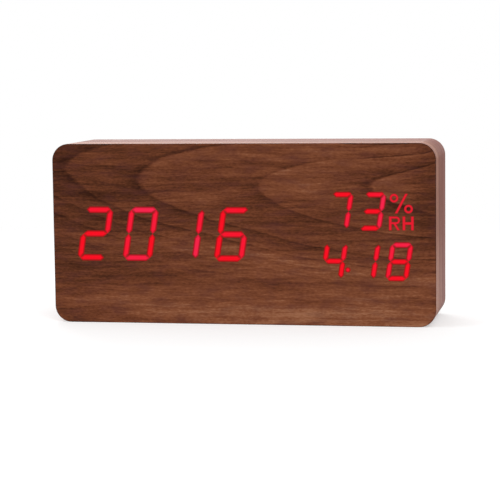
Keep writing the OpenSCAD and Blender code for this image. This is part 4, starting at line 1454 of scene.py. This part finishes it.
    def letter_h(self, left: float) -> Bench:
        """Makes the second letter: two stems and a bar.

        Args:
            left: Its left side.

        Returns:
            The letter.
        """
        low, bar_w = self.letters_z - self.letters_h / 2, self.letter_w - 2 * self.overlap
        bar = self.plate(left + self.overlap, self.letters_z - self.stroke / 2, bar_w, self.stroke)
        stems = [self.plate(x, low, self.stroke, self.letters_h)
                 for x in (left, left + self.letter_w - self.stroke)]
        return stems[0].weld(bar, stems[1])

    def build(self) -> Bench:
        """Makes all lit pieces.

        Returns:
            Their shapes run through the veneer, to cut its windows with.
        """
        dot = Bench.rod("dot", self.dot, self.ends, self.dot_r, Sides.FINE)
        self.soften(dot, SMALL.edge).mark("pink", lambda corner: self.dot_pink)
        pieces = []
        for size in (LARGE, SMALL):
            bars = self.bars(size)
            for row in (r for r in self.rows if r.size is size):
                lit = self.build_row(row, bars, [dot] if row.node == self.dot_row else [])
                pieces.append((lit, row.node, Finishes.LIT))
            for bar in bars.values():
                bpy.data.objects.remove(bar.obj)
        pieces.append((self.build_sign(), "lit_humidity_sign", Finishes.SIGN))
        windows = Bench.gather("windows", [piece.copy("window", 0, 0, 0) for piece, _, _ in pieces])
        for way in (-1, 1):
            windows.end(way).move(0, way * PAST, 0)
        for piece, node, finish in pieces:
            hand_over(piece.smooth(self.crease), Body.CASE, "lit_red", node, finish)
        return windows


def hole_tool(middle: Point2, start: float, rim: float, radius: float, chamfer: float, sides: Sides) -> Bench:
    """Makes a drill that leaves a round hole along Y, from its start to a chamfered rim."""
    tool = Bench.rod("tool", middle, (start, rim - chamfer), radius, sides)
    return tool.end(1).pull(chamfer, (radius + chamfer) / radius, middle).pull(PAST)


def slot_tool(low: Point3, high: Point3, corner: float, chamfer: float) -> Bench:
    """Makes a cutter that leaves a pocket with round corners and a chamfered rim at its high Y.

    Args:
        low: Lowest corner.
        high: Highest corner, at the rim.
        corner: Radius of the corners.
        chamfer: Width of the chamfer.

    Returns:
        The cutter.
    """
    tool = Bench.box("tool", low, (high[0], high[1] - chamfer, high[2])).ease_sides(corner, steps=4)
    middle = ((low[0] + high[0]) / 2, (low[2] + high[2]) / 2)
    wider = [1 + 2 * chamfer / (high[i] - low[i]) for i in (0, 2)]
    return tool.end(1).pull(chamfer).scale(*wider, middle).pull(PAST)


@dataclass
class BackCover:
    """The moulded cover let into the back, its screws and the openings in it."""

    half_w: float = 71.6
    heights: Point2 = (3.4, 66.6)
    in_y: float = 15.8
    out_y: float = 18.2
    corner: float = 3.1
    edge_round: float = 0.4
    chamfer: float = 0.25
    fine_chamfer: float = 0.15
    crease: float = 40.0
    buttons: tuple[float, ...] = (-54.5, -37.5, -20.5)
    button_z: float = 46.0
    button_r: float = 4.2
    row_z: float = 24.0
    jack: Point2 = (-57.5, 3.3)
    mic: Point2 = (-28.0, 0.8)
    sound_x: float = -40.5
    sound_r: float = 0.7
    sound_ring: float = 3.0
    sound_holes: int = 6
    vent_x: float = -17.5
    vent_half: Point2 = (0.6, 4.0)
    vent_corner: float = 0.5
    vent_pitch: float = 2.4
    vents: int = 4
    screws: tuple[Point2, ...] = ((-65.5, 9.5), (65.5, 9.5), (-65.5, 60.5), (65.5, 60.5))
    screw_r: float = 0.9
    screw_hole_r: float = 1.15
    head_r: float = 1.9
    head_h: float = 1.1
    head_y: float = 17.0
    head_round: float = 0.6
    sink_r: float = 2.15
    sink_chamfer: float = 0.2
    tip_y: float = 4.8
    tip_l: float = 0.8
    tip_share: float = 0.3
    cross_half: Point2 = (1.3, 0.3)
    cross_d: float = 0.6
    cross_taper: float = 0.75
    bosses: tuple[Point2, ...] = ((-58.5, 17.0), (-16.5, 17.0), (-58.5, 53.0), (-16.5, 53.0))
    boss_r: float = 2.5
    boss_y: float = 9.8
    pilot_r: float = 0.95
    pilot_d: float = 4.5
    bay_low: Point3 = (6.0, 4.3, 10.7)
    bay_high: Point3 = (60.5, 16.6, 59.3)
    well_low: Point3 = (8.3, 5.5, 13.0)
    well_high: Point3 = (58.2, 21.0, 57.0)
    door_x: Point2 = (6.8, 59.7)
    door_z: Point2 = (11.5, 58.5)
    door_corner: float = 0.4
    tabs: tuple[float, ...] = (20.25, 46.25)
    tab_half: float = 3.3
    tab_slots: tuple[Span, ...] = (((14.05, 15.8), (9.7, 14.0)), ((14.8, 17.6), (11.5, 14.0)))
    notch_x: Point2 = (27.25, 39.25)
    notch_z: Point2 = (55.0, 62.0)
    notch_d: float = 1.2
    notch_corner: float = 2.0
    terminals: tuple[float, ...] = (18.65, 51.35)
    terminal_half: float = 1.4
    terminal_slot: Span = ((5.5, 8.8), (6.7, 7.5))

    def build_cover(self) -> None:
        """Makes the cover with its battery bay, bosses and openings."""
        low_z, high_z = self.heights
        cover = Bench.box("back_cover", (-self.half_w, self.in_y, low_z), (self.half_w, self.out_y, high_z))
        cover.ease_sides(self.corner, steps=8).ease_rim(self.out_y, self.edge_round, steps=4)
        cover.weld(Bench.box("tool", self.bay_low, self.bay_high))
        for place in self.bosses:
            pilot = (self.boss_y - PAST, self.boss_y + self.pilot_d)
            cover.weld(Bench.rod("tool", place, (self.boss_y, self.in_y + PAST), self.boss_r, Sides.SMALL))
            cover.cut(Bench.rod("tool", place, pilot, self.pilot_r, Sides.TINY))
        cover.cut(Bench.box("tool", self.well_low, self.well_high))
        recesses = ((self.door_x, self.door_z, self.bay_high[1], self.door_corner),
                    (self.notch_x, self.notch_z, self.out_y - self.notch_d, self.notch_corner))
        for (left, right), (low, high), floor, corner in recesses:
            cover.cut(slot_tool((left, floor, low), (right, self.out_y, high), corner, self.chamfer))
        for x in self.tabs:
            for (front, back), (low, high) in self.tab_slots:
                cover.cut(Bench.box("tool", (x - self.tab_half, front, low), (x + self.tab_half, back, high)))
        (left, right), (front, back) = self.terminal_slot
        for z in self.terminals:
            cover.cut(Bench.box("tool", (left, front, z - self.terminal_half),
                                (right, back, z + self.terminal_half)))
        cover.cut(Bench.gather("tool", self.opening_tools())).tidy().smooth(self.crease)
        hand_over(cover, Body.CASE, "black_plastic", "rear_cover", Finishes.COVER)

    def opening_tools(self) -> list[Bench]:
        """Makes the drills and cutters for buttons, inlet, sound, vents and screws.

        Returns:
            The tools.
        """
        start, rim = self.in_y - PAST, self.out_y
        holes = [((x, self.button_z), self.button_r, self.chamfer, Sides.BUTTON) for x in self.buttons]
        holes += [((x, self.row_z), radius, chamfer, Sides.MEDIUM)
                  for (x, radius), chamfer in ((self.jack, self.chamfer), (self.mic, self.fine_chamfer))]
        sound = (self.sound_x, self.row_z)
        holes += [(place, self.sound_r, self.fine_chamfer, Sides.FINE)
                  for place in (sound, *circle(sound, self.sound_ring, self.sound_holes))]
        tools = [hole_tool(place, start, rim, *hole) for place, *hole in holes]
        half_w, half_h = self.vent_half
        for number in range(self.vents):
            x = self.vent_x + (number - (self.vents - 1) / 2) * self.vent_pitch
            low, high = (x - half_w, start, self.row_z - half_h), (x + half_w, rim, self.row_z + half_h)
            tools.append(slot_tool(low, high, self.vent_corner, self.fine_chamfer))
        for place in self.screws:
            drill = Bench.rod("tool", place, (start, self.head_y), self.screw_hole_r, Sides.SMALL)
            drill.end(1).pull(0.0, self.sink_r / self.screw_hole_r, place)
            drill.pull(rim - self.sink_chamfer - self.head_y)
            drill.pull(self.sink_chamfer, (self.sink_r + self.sink_chamfer) / self.sink_r, place).pull(PAST)
            tools.append(drill)
        return tools

    def build_screws(self) -> None:
        """Makes one pan-head screw with a cross and copies it to the four corners."""
        first, *others = self.screws
        top_y = self.head_y + self.head_h
        screw = Bench.rod("cover_screw_set", first, (self.head_y, top_y), self.head_r, Sides.MEDIUM)
        screw.ease_rim(top_y, self.head_round, steps=6)
        screw.end(-1).inset(self.head_r - self.screw_r).pull(self.tip_y + self.tip_l - self.head_y)
        screw.pull(-self.tip_l, self.tip_share, first)
        for half in (self.cross_half, self.cross_half[::-1]):
            blade = Bench.block("tool", first, half, (top_y - self.cross_d, top_y + PAST))
            screw.cut(blade.end(-1).scale(self.cross_taper, self.cross_taper, first))
        screw.smooth()
        screw.join([screw.copy("screw", x - first[0], 0, z - first[1]) for x, z in others])
        hand_over(screw, Body.CASE, "screw_steel", "cover_screws", Finishes.SCREW)


class Sign(Enum):
    """The raised marks on the buttons: a ring, or an arrow head by its turn in degrees."""

    RING = 0
    UP = 90
    DOWN = -90


@dataclass
class Controls:
    """The three buttons and the power inlet."""

    buttons: tuple[tuple[str, float, Sign, Body], ...] = (
        ("set_button", -20.5, Sign.RING, Body.SET_KEY),
        ("up_button", -37.5, Sign.UP, Body.UP_KEY),
        ("down_button", -54.5, Sign.DOWN, Body.DOWN_KEY),
    )
    button_z: float = 46.0
    flange_y: float = 14.9
    neck_y: float = 15.7
    top_y: float = 19.4
    flange_r: float = 5.0
    cap_r: float = 4.0
    crown: float = 0.5
    lip: float = 0.5
    dish_slope: float = 0.7
    dish: float = 0.14
    mark_y: float = 19.6
    mark_sink: float = 0.05
    mark_r: float = 1.7
    mark_line: float = 0.6
    mark_corner: float = 0.25
    mark_round: float = 0.1
    jack: Point2 = (-57.5, 24.0)
    jack_half: Point2 = (4.0, 4.0)
    jack_ends: Point3 = (9.8, 15.8, 18.2)
    jack_round: float = 0.2
    nose_r: float = 3.1
    nose_round: float = 0.3
    bore_r: float = 1.95
    bore_y: float = 11.2
    pin_r: float = 0.65
    pin_y: float = 17.2
    pin_round: float = 0.4

    def build_buttons(self) -> None:
        """Makes each button with a flange, a rounded and dished cap and a painted mark."""
        for node, x, sign, body in self.buttons:
            middle, name = (x, self.button_z), node.replace("button", "cap")
            cap = Bench.rod(name, middle, (self.flange_y, self.neck_y), self.flange_r, Sides.BUTTON)
            cap.end(1).inset(self.flange_r - self.cap_r).pull(self.top_y - self.neck_y)
            cap.ease_rim(self.top_y, self.crown, steps=6)
            top = both(facing(0, 1, 0), level(Axis.Y, self.top_y))
            cap.pick(Part.FACE, top).inset(self.lip).inset(self.dish_slope, -self.dish)
            cap.smooth()
            mark = self.mark(middle, sign)
            paint(cap, Finishes.BUTTON)
            paint(mark, Finishes.PAINT)
            hand_over(cap.join([mark]), body, "button_plastic", node)

    def mark(self, middle: Point2, sign: Sign) -> Bench:
        """Makes a raised mark, rounded at its upper edge.

        Args:
            middle: The button's middle.
            sign: The mark.

        Returns:
            The mark.
        """
        ends = (self.top_y - self.dish - self.mark_sink, self.mark_y)
        if sign is Sign.RING:
            mark = Bench.rod("mark", middle, ends, self.mark_r, Sides.MEDIUM)
            through = (ends[0] - PAST, ends[1] + PAST)
            mark.cut(Bench.rod("tool", middle, through, self.mark_r - self.mark_line, Sides.SMALL))
        else:
            arrow = circle(middle, self.mark_r, 3, sign.value)
            mark = Bench.prism("mark", arrow, ends).ease_sides(self.mark_corner, steps=3)
        rim = both(level(Axis.Y, self.mark_y), lambda edge: edge.calc_face_angle(0.0) > 1)
        return mark.pick(Part.EDGE, rim).bevel(self.mark_round, steps=2).smooth()

    def build_jack(self) -> None:
        """Makes the power inlet and its pin."""
        board_y, in_y, out_y = self.jack_ends
        jack = Bench.block("power_inlet", self.jack, self.jack_half, (board_y, in_y))
        jack.pick(Part.EDGE, anything).bevel(self.jack_round, steps=2)
        nose = Bench.rod("tool", self.jack, (in_y - PAST, out_y), self.nose_r, Sides.NOSE)
        bore = hole_tool(self.jack, self.bore_y, out_y, self.bore_r, self.nose_round, Sides.MEDIUM)
        jack.weld(nose.ease_rim(out_y, self.nose_round, steps=3)).cut(bore)
        hand_over(jack.tidy().smooth(), Body.CASE, "jack_plastic", "dc_jack", Finishes.JACK)
        pin = Bench.rod("power_pin", self.jack, (self.bore_y, self.pin_y), self.pin_r, Sides.FINE)
        pin.ease_rim(self.pin_y, self.pin_round, steps=5).smooth()
        hand_over(pin, Body.CASE, "jack_contact", "dc_jack_pin", Finishes.BRASS)


@dataclass
class BatteryBay:
    """The battery door, the four cells and their springs."""

    door_low: Point3 = (7.1, 16.6, 11.8)
    door_high: Point3 = (59.4, 18.2, 58.2)
    door_corner: float = 0.6
    door_round: float = 0.25
    overlap: float = 0.5
    middle_x: float = 33.25
    tabs: tuple[float, ...] = (20.25, 46.25)
    tab_half: float = 3.0
    tab_y: Point2 = (14.65, 15.65)
    tab_z: Point2 = (10.3, 12.8)
    toe_round: float = 0.3
    latch_half: float = 4.5
    latch_y: float = 15.1
    latch_z: Point2 = (55.5, 56.5)
    rib_z: float = 55.2
    rib_pitch: float = 1.6
    rib_half: float = 0.4
    ribs: int = 4
    rib_h: float = 0.3
    rib_round: float = 0.2
    cell_y: float = 10.95
    cell_zs: tuple[float, ...] = (18.65, 29.55, 40.45, 51.35)
    cell_r: float = 5.25
    can_l: float = 43.5
    can_round: float = 0.5
    crimp: float = 0.6
    plus_sink: float = 0.15
    minus_sink: float = 0.12
    minus_ring: float = 0.5
    nub_r: float = 1.9
    nub_l: float = 1.0
    nub_foot: float = 0.3
    nub_round: float = 0.25
    metal_edge: float = 0.55
    can_xs: Point2 = (9.7, 13.3)
    band_l: float = 12.0
    spring_ends: Point2 = (57.9, 8.6)
    spring_l: float = 4.6
    spring_r: Point2 = (3.5, 2.1)
    spring_crease: float = 50.0
    wire_r: float = 0.3
    turns: float = 3.5
    turn_steps: int = 28

    def build_door(self) -> None:
        """Makes the door with its tabs, latch tongue and grip ribs."""
        seat, face = self.door_low[1] + self.overlap, self.door_high[1]
        door = Bench.box("battery_lid", self.door_low, self.door_high)
        door.ease_sides(self.door_corner, steps=4).ease_rim(face, self.door_round, steps=3)
        (front, back), (low, high) = self.tab_y, self.tab_z
        for left, right in ((x - self.tab_half, x + self.tab_half) for x in self.tabs):
            leg = Bench.box("tool", (left, front, self.door_low[2]), (right, seat, high))
            foot = Bench.box("tool", (left, front, low), (right, back, high))
            foot.pick(Part.EDGE, both(along(Axis.X), level(Axis.Z, low))).bevel(self.toe_round, steps=3)
            door.weld(leg, foot)
        left, right = self.middle_x - self.latch_half, self.middle_x + self.latch_half
        tongue = Bench.box("tool", (left, self.latch_y, self.latch_z[0]), (right, seat, self.latch_z[1]))
        tongue.pick(Part.EDGE, both(along(Axis.X), level(Axis.Y, self.latch_y)))
        door.weld(tongue.bevel(self.toe_round, steps=3))
        for number in range(self.ribs):
            middle = (self.middle_x, self.rib_z - number * self.rib_pitch)
            ends = (face - self.overlap, face + self.rib_h)
            rib = Bench.block("tool", middle, (self.latch_half, self.rib_half), ends)
            door.weld(rib.ease_rim(ends[1], self.rib_round, steps=3))
        hand_over(door.tidy().smooth(), Body.DOOR, "black_plastic", "battery_door", Finishes.COVER)

    def cell(self, start: float, z: float, nub: int) -> Bench:
        """Makes one cell along X.

        Args:
            start: Left end of its can.
            z: Its height.
            nub: The way that its nub points: 1 to the right, -1 to the left.

        Returns:
            The cell, with jacket, band and metal as material slots 0, 1 and 2.
        """
        ends = (start, start + self.can_l)
        plus = max(ends) if nub > 0 else min(ends)
        cell = Bench.rod("cell", (self.cell_y, z), ends, self.cell_r, Sides.CELL, Axis.X)
        cell.pick(Part.EDGE, lambda edge: not along(Axis.X)(edge)).bevel(self.can_round, steps=4)
        shoulder = self.cell_r - self.can_round - self.crimp - self.nub_r - self.nub_foot
        cell.pick(Part.FACE, facing(nub, 0, 0)).inset(self.crimp, -self.plus_sink).inset(shoulder)
        cell.push(nub * (self.nub_l + self.plus_sink), 0, 0)
        cell.pick(Part.EDGE, level(Axis.X, plus + nub * self.nub_l)).bevel(self.nub_round, steps=3)
        cell.pick(Part.FACE, facing(-nub, 0, 0)).inset(self.crimp, -self.minus_sink)
        cell.inset(self.minus_ring, self.minus_sink)
        cell.saw((plus - nub * self.band_l, 0, 0), (1, 0, 0), False).smooth()
        for face in cell.obj.data.polygons:
            x, y, height = (c / MM for c in face.center)
            metal = math.hypot(y - self.cell_y, height - z) < self.cell_r - self.metal_edge
            face.material_index = 2 if metal else int(abs(x - plus) < self.band_l)
        return cell

    def build_cells(self) -> None:
        """Makes the four cells, turned end for end by turns."""
        cells = []
        for number, z in enumerate(self.cell_zs):
            cells.append(self.cell(self.can_xs[number % 2], z, (-1, 1)[number % 2]))
            paint(cells[-1], Finishes.JACKET, Finishes.BAND, Finishes.CONTACT)
        hand_over(Bench.gather("cell_pack", cells), Body.CASE, "cell_jacket", "battery_cells")

    def spring(self, base: float, way: int, z: float) -> Bench:
        """Winds a tapered spring along X.

        Args:
            base: Where it stands on its plate.
            way: 1 to the right, -1 to the left.
            z: Its height.

        Returns:
            The spring as a mesh.
        """
        Bench.clear()
        bpy.ops.curve.primitive_nurbs_path_add(location=(0, 0, 0))
        wire = bpy.context.active_object.data
        steps = round(self.turns * self.turn_steps)
        path = wire.splines[0]
        path.points.add(steps + 1 - len(path.points))
        for number, point in enumerate(path.points):
            share = number / steps
            radius = self.spring_r[0] + (self.spring_r[1] - self.spring_r[0]) * share
            angle = math.tau * self.turns * share
            run = self.wire_r + (self.spring_l - 2 * self.wire_r) * share
            place = (base + way * run, self.cell_y + radius * math.cos(angle), z + radius * math.sin(angle))
            point.co = (*(p * MM for p in place), 1.0)
        path.use_endpoint_u = True
        path.order_u = 3
        path.resolution_u = 2
        wire.dimensions = "3D"
        wire.bevel_depth = self.wire_r * MM
        wire.bevel_resolution = 3
        wire.use_fill_caps = True
        bpy.ops.object.convert(target="MESH")
        return Bench("spring")

    def build_springs(self) -> None:
        """Winds the four springs."""
        springs = [self.spring(self.spring_ends[number % 2], (-1, 1)[number % 2], z)
                   for number, z in enumerate(self.cell_zs)]
        row = Bench.gather("cell_springs", springs).tidy().smooth(self.spring_crease)
        hand_over(row, Body.CASE, "contact_steel", "battery_springs", Finishes.CONTACT)


@dataclass
class InnerWorks:
    """The CAD pieces that keep their shape and get a finish of their own."""

    finishes: tuple[tuple[Finishes, tuple[str, ...]], ...] = (
        (Finishes.BOARD, ("case_shell",)),
        (Finishes.DIFFUSER, ("diffuser_film",)),
        (Finishes.MASK, ("light_mask",)),
        (Finishes.LAMP, ("segment_leds",)),
        (Finishes.CIRCUIT, ("display_board", "control_board")),
        (Finishes.SCREW, ("mask_screws", "display_board_screws", "control_board_screws")),
        (Finishes.CHIP, ("clock_chip", "digit_drivers")),
        (Finishes.CAN, ("crystal_can", "microphone")),
        (Finishes.SLEEVE, ("capacitor",)),
        (Finishes.SOCKET, ("lead_socket", "link_headers")),
        (Finishes.RIBBON, ("board_link",)),
        (Finishes.SWITCH, ("switch_bodies", "set_plunger", "up_plunger", "down_plunger", "buzzer")),
        (Finishes.SENSOR, ("humidity_sensor",)),
        (Finishes.CONTACT, ("battery_plates",)),
        (Finishes.RED_WIRE, ("battery_lead_red",)),
        (Finishes.BLACK_WIRE, ("battery_lead_black",)),
    )

    def dress(self) -> None:
        """Gives each kept node its finish."""
        for finish, names in self.finishes:
            for name in names:
                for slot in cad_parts[name].material_slots:
                    slot.material = finish.value.material()
                LOG.info("%s: CAD node in %s", name, finish.value.name)


@dataclass
class Studio:
    """A pale floor, a white surround, soft lamps and the camera at the photograph's angle."""

    eye: Point3 = (141.1, -718.3, 102.7)
    yaw: float = 11.15
    pitch: float = -5.91
    roll: float = -0.70
    lens: float = 133.9
    sensor: float = 36.0
    clip: Point2 = (0.01, 50.0)
    floor_size: float = 8.0
    floor_colour: Colour = (0.62, 0.62, 0.62, 1.0)
    floor_rough: float = 0.9
    floor_glow: float = 0.42
    floor_gloss: float = 0.33
    floor_fade: Point2 = (180.0, 420.0)
    ambient: float = 0.70
    aim: Point3 = (0.0, 0.0, 0.035)
    lamps: tuple[tuple[str, Point3, float, float], ...] = (
        ("key_lamp", (0.75, -1.3, 1.1), 0.9, 13.0),
        ("fill_lamp", (-1.3, -0.7, 0.8), 0.9, 6.0),
        ("back_lamp", (-0.5, 1.4, 1.1), 1.0, 12.0),
    )

    def build(self) -> None:
        """Sets up the whole studio."""
        self.place_camera()
        self.lay_floor()
        self.light_world()
        for name, place, size, power in self.lamps:
            self.hang_lamp(name, place, size, power)
        bpy.context.scene.view_settings.view_transform = "Standard"

    def place_camera(self) -> None:
        """Puts the camera where the photograph was taken from."""
        yaw, pitch, roll = (math.radians(a) for a in (self.yaw, self.pitch, self.roll))
        ahead = Vector((-math.sin(yaw), math.cos(yaw), 0.0))
        right = Vector((math.cos(yaw), math.sin(yaw), 0.0))
        up = Vector((0, 0, math.cos(pitch))) - ahead * math.sin(pitch)
        view = ahead * math.cos(pitch) + Vector((0, 0, math.sin(pitch)))
        rolled = right * math.cos(roll) + up * math.sin(roll)
        upright = up * math.cos(roll) - right * math.sin(roll)
        turn = Matrix((rolled, upright, -view)).transposed().to_4x4()
        data = bpy.data.cameras.new("camera")
        data.lens, data.sensor_width = self.lens, self.sensor
        data.clip_start, data.clip_end = self.clip
        camera = bpy.data.objects.new("camera", data)
        bpy.context.scene.collection.objects.link(camera)
        camera.matrix_world = Matrix.Translation(Vector(self.eye) * MM) @ turn
        bpy.context.scene.camera = camera

    def lay_floor(self) -> None:
        """Lays a pale floor that looks white to the camera and keeps the clock's shadow."""
        Bench.clear()
        bpy.ops.mesh.primitive_plane_add(size=self.floor_size, location=(0, 0, 0))
        floor = bpy.context.active_object
        floor.name = "floor"
        nodes = Nodes("pale_floor")
        away = nodes.add("VectorMath", {0: nodes.place()}, "Value", operation="LENGTH")
        away = nodes.spread(away, self.floor_fade, FULL)
        glow = nodes.spread(away, FULL, (self.floor_glow, 1.0))
        path = nodes.add("LightPath", {}, "Is Camera Ray")
        glow = nodes.add("Mix", {0: path, 2: self.floor_gloss, 3: glow})
        nodes.set(Base_Color=nodes.mix(away, self.floor_colour, BLACK), Roughness=self.floor_rough,
                  Specular_IOR_Level=0.0, Emission_Color=WHITE,
                  Emission_Strength=nodes.times(self.seen(nodes), glow))
        floor.data.materials.append(nodes.material)

    @staticmethod
    def seen(nodes: Tree) -> Socket:
        """Gives 1 to rays that show the surround: from the camera, in gloss and through glass.

        Args:
            nodes: The nodes to add to.

        Returns:
            The value.
        """
        camera, gloss, glass = (nodes.add("LightPath", {}, f"Is {kind} Ray")
                                for kind in ("Camera", "Glossy", "Transmission"))
        return nodes.maths("MAXIMUM", nodes.maths("MAXIMUM", camera, gloss), glass)

    def light_world(self) -> None:
        """Surrounds the clock with white: a plain level for light, full white where it is seen."""
        world = bpy.data.worlds.new("surround")
        bpy.context.scene.world = world
        world.use_nodes = True
        tree = Tree(world.node_tree)
        back = world.node_tree.nodes["Background"]
        tree.feed(back.inputs["Color"], WHITE)
        tree.feed(back.inputs["Strength"], tree.spread(self.seen(tree), FULL, (self.ambient, 1.0)))

    def hang_lamp(self, name: str, place: Point3, size: float, power: float) -> None:
        """Hangs a soft lamp that looks at the clock.

        Args:
            name: Its name.
            place: Its place in metres.
            size: Its side in metres.
            power: Its power in watts.
        """
        data = bpy.data.lights.new(name, "AREA")
        data.shape, data.size, data.energy = "SQUARE", size, power
        lamp = bpy.data.objects.new(name, data)
        bpy.context.scene.collection.objects.link(lamp)
        turn = (Vector(self.aim) - Vector(place)).to_track_quat("-Z", "Y")
        lamp.matrix_world = Matrix.LocRotScale(Vector(place), turn, None)


def main() -> None:
    """Builds the clock's sub-assemblies in order, then the studio."""
    logging.basicConfig(level=logging.INFO, format="%(message)s")
    block, cover, controls, bay = WoodBlock(), BackCover(), Controls(), BatteryBay()
    windows = Display().build()
    block.build_face(windows)
    block.build_wrap()
    cover.build_cover()
    cover.build_screws()
    controls.build_buttons()
    controls.build_jack()
    bay.build_door()
    bay.build_cells()
    bay.build_springs()
    InnerWorks().dress()
    Studio().build()


if __name__ == "__main__":
    main()
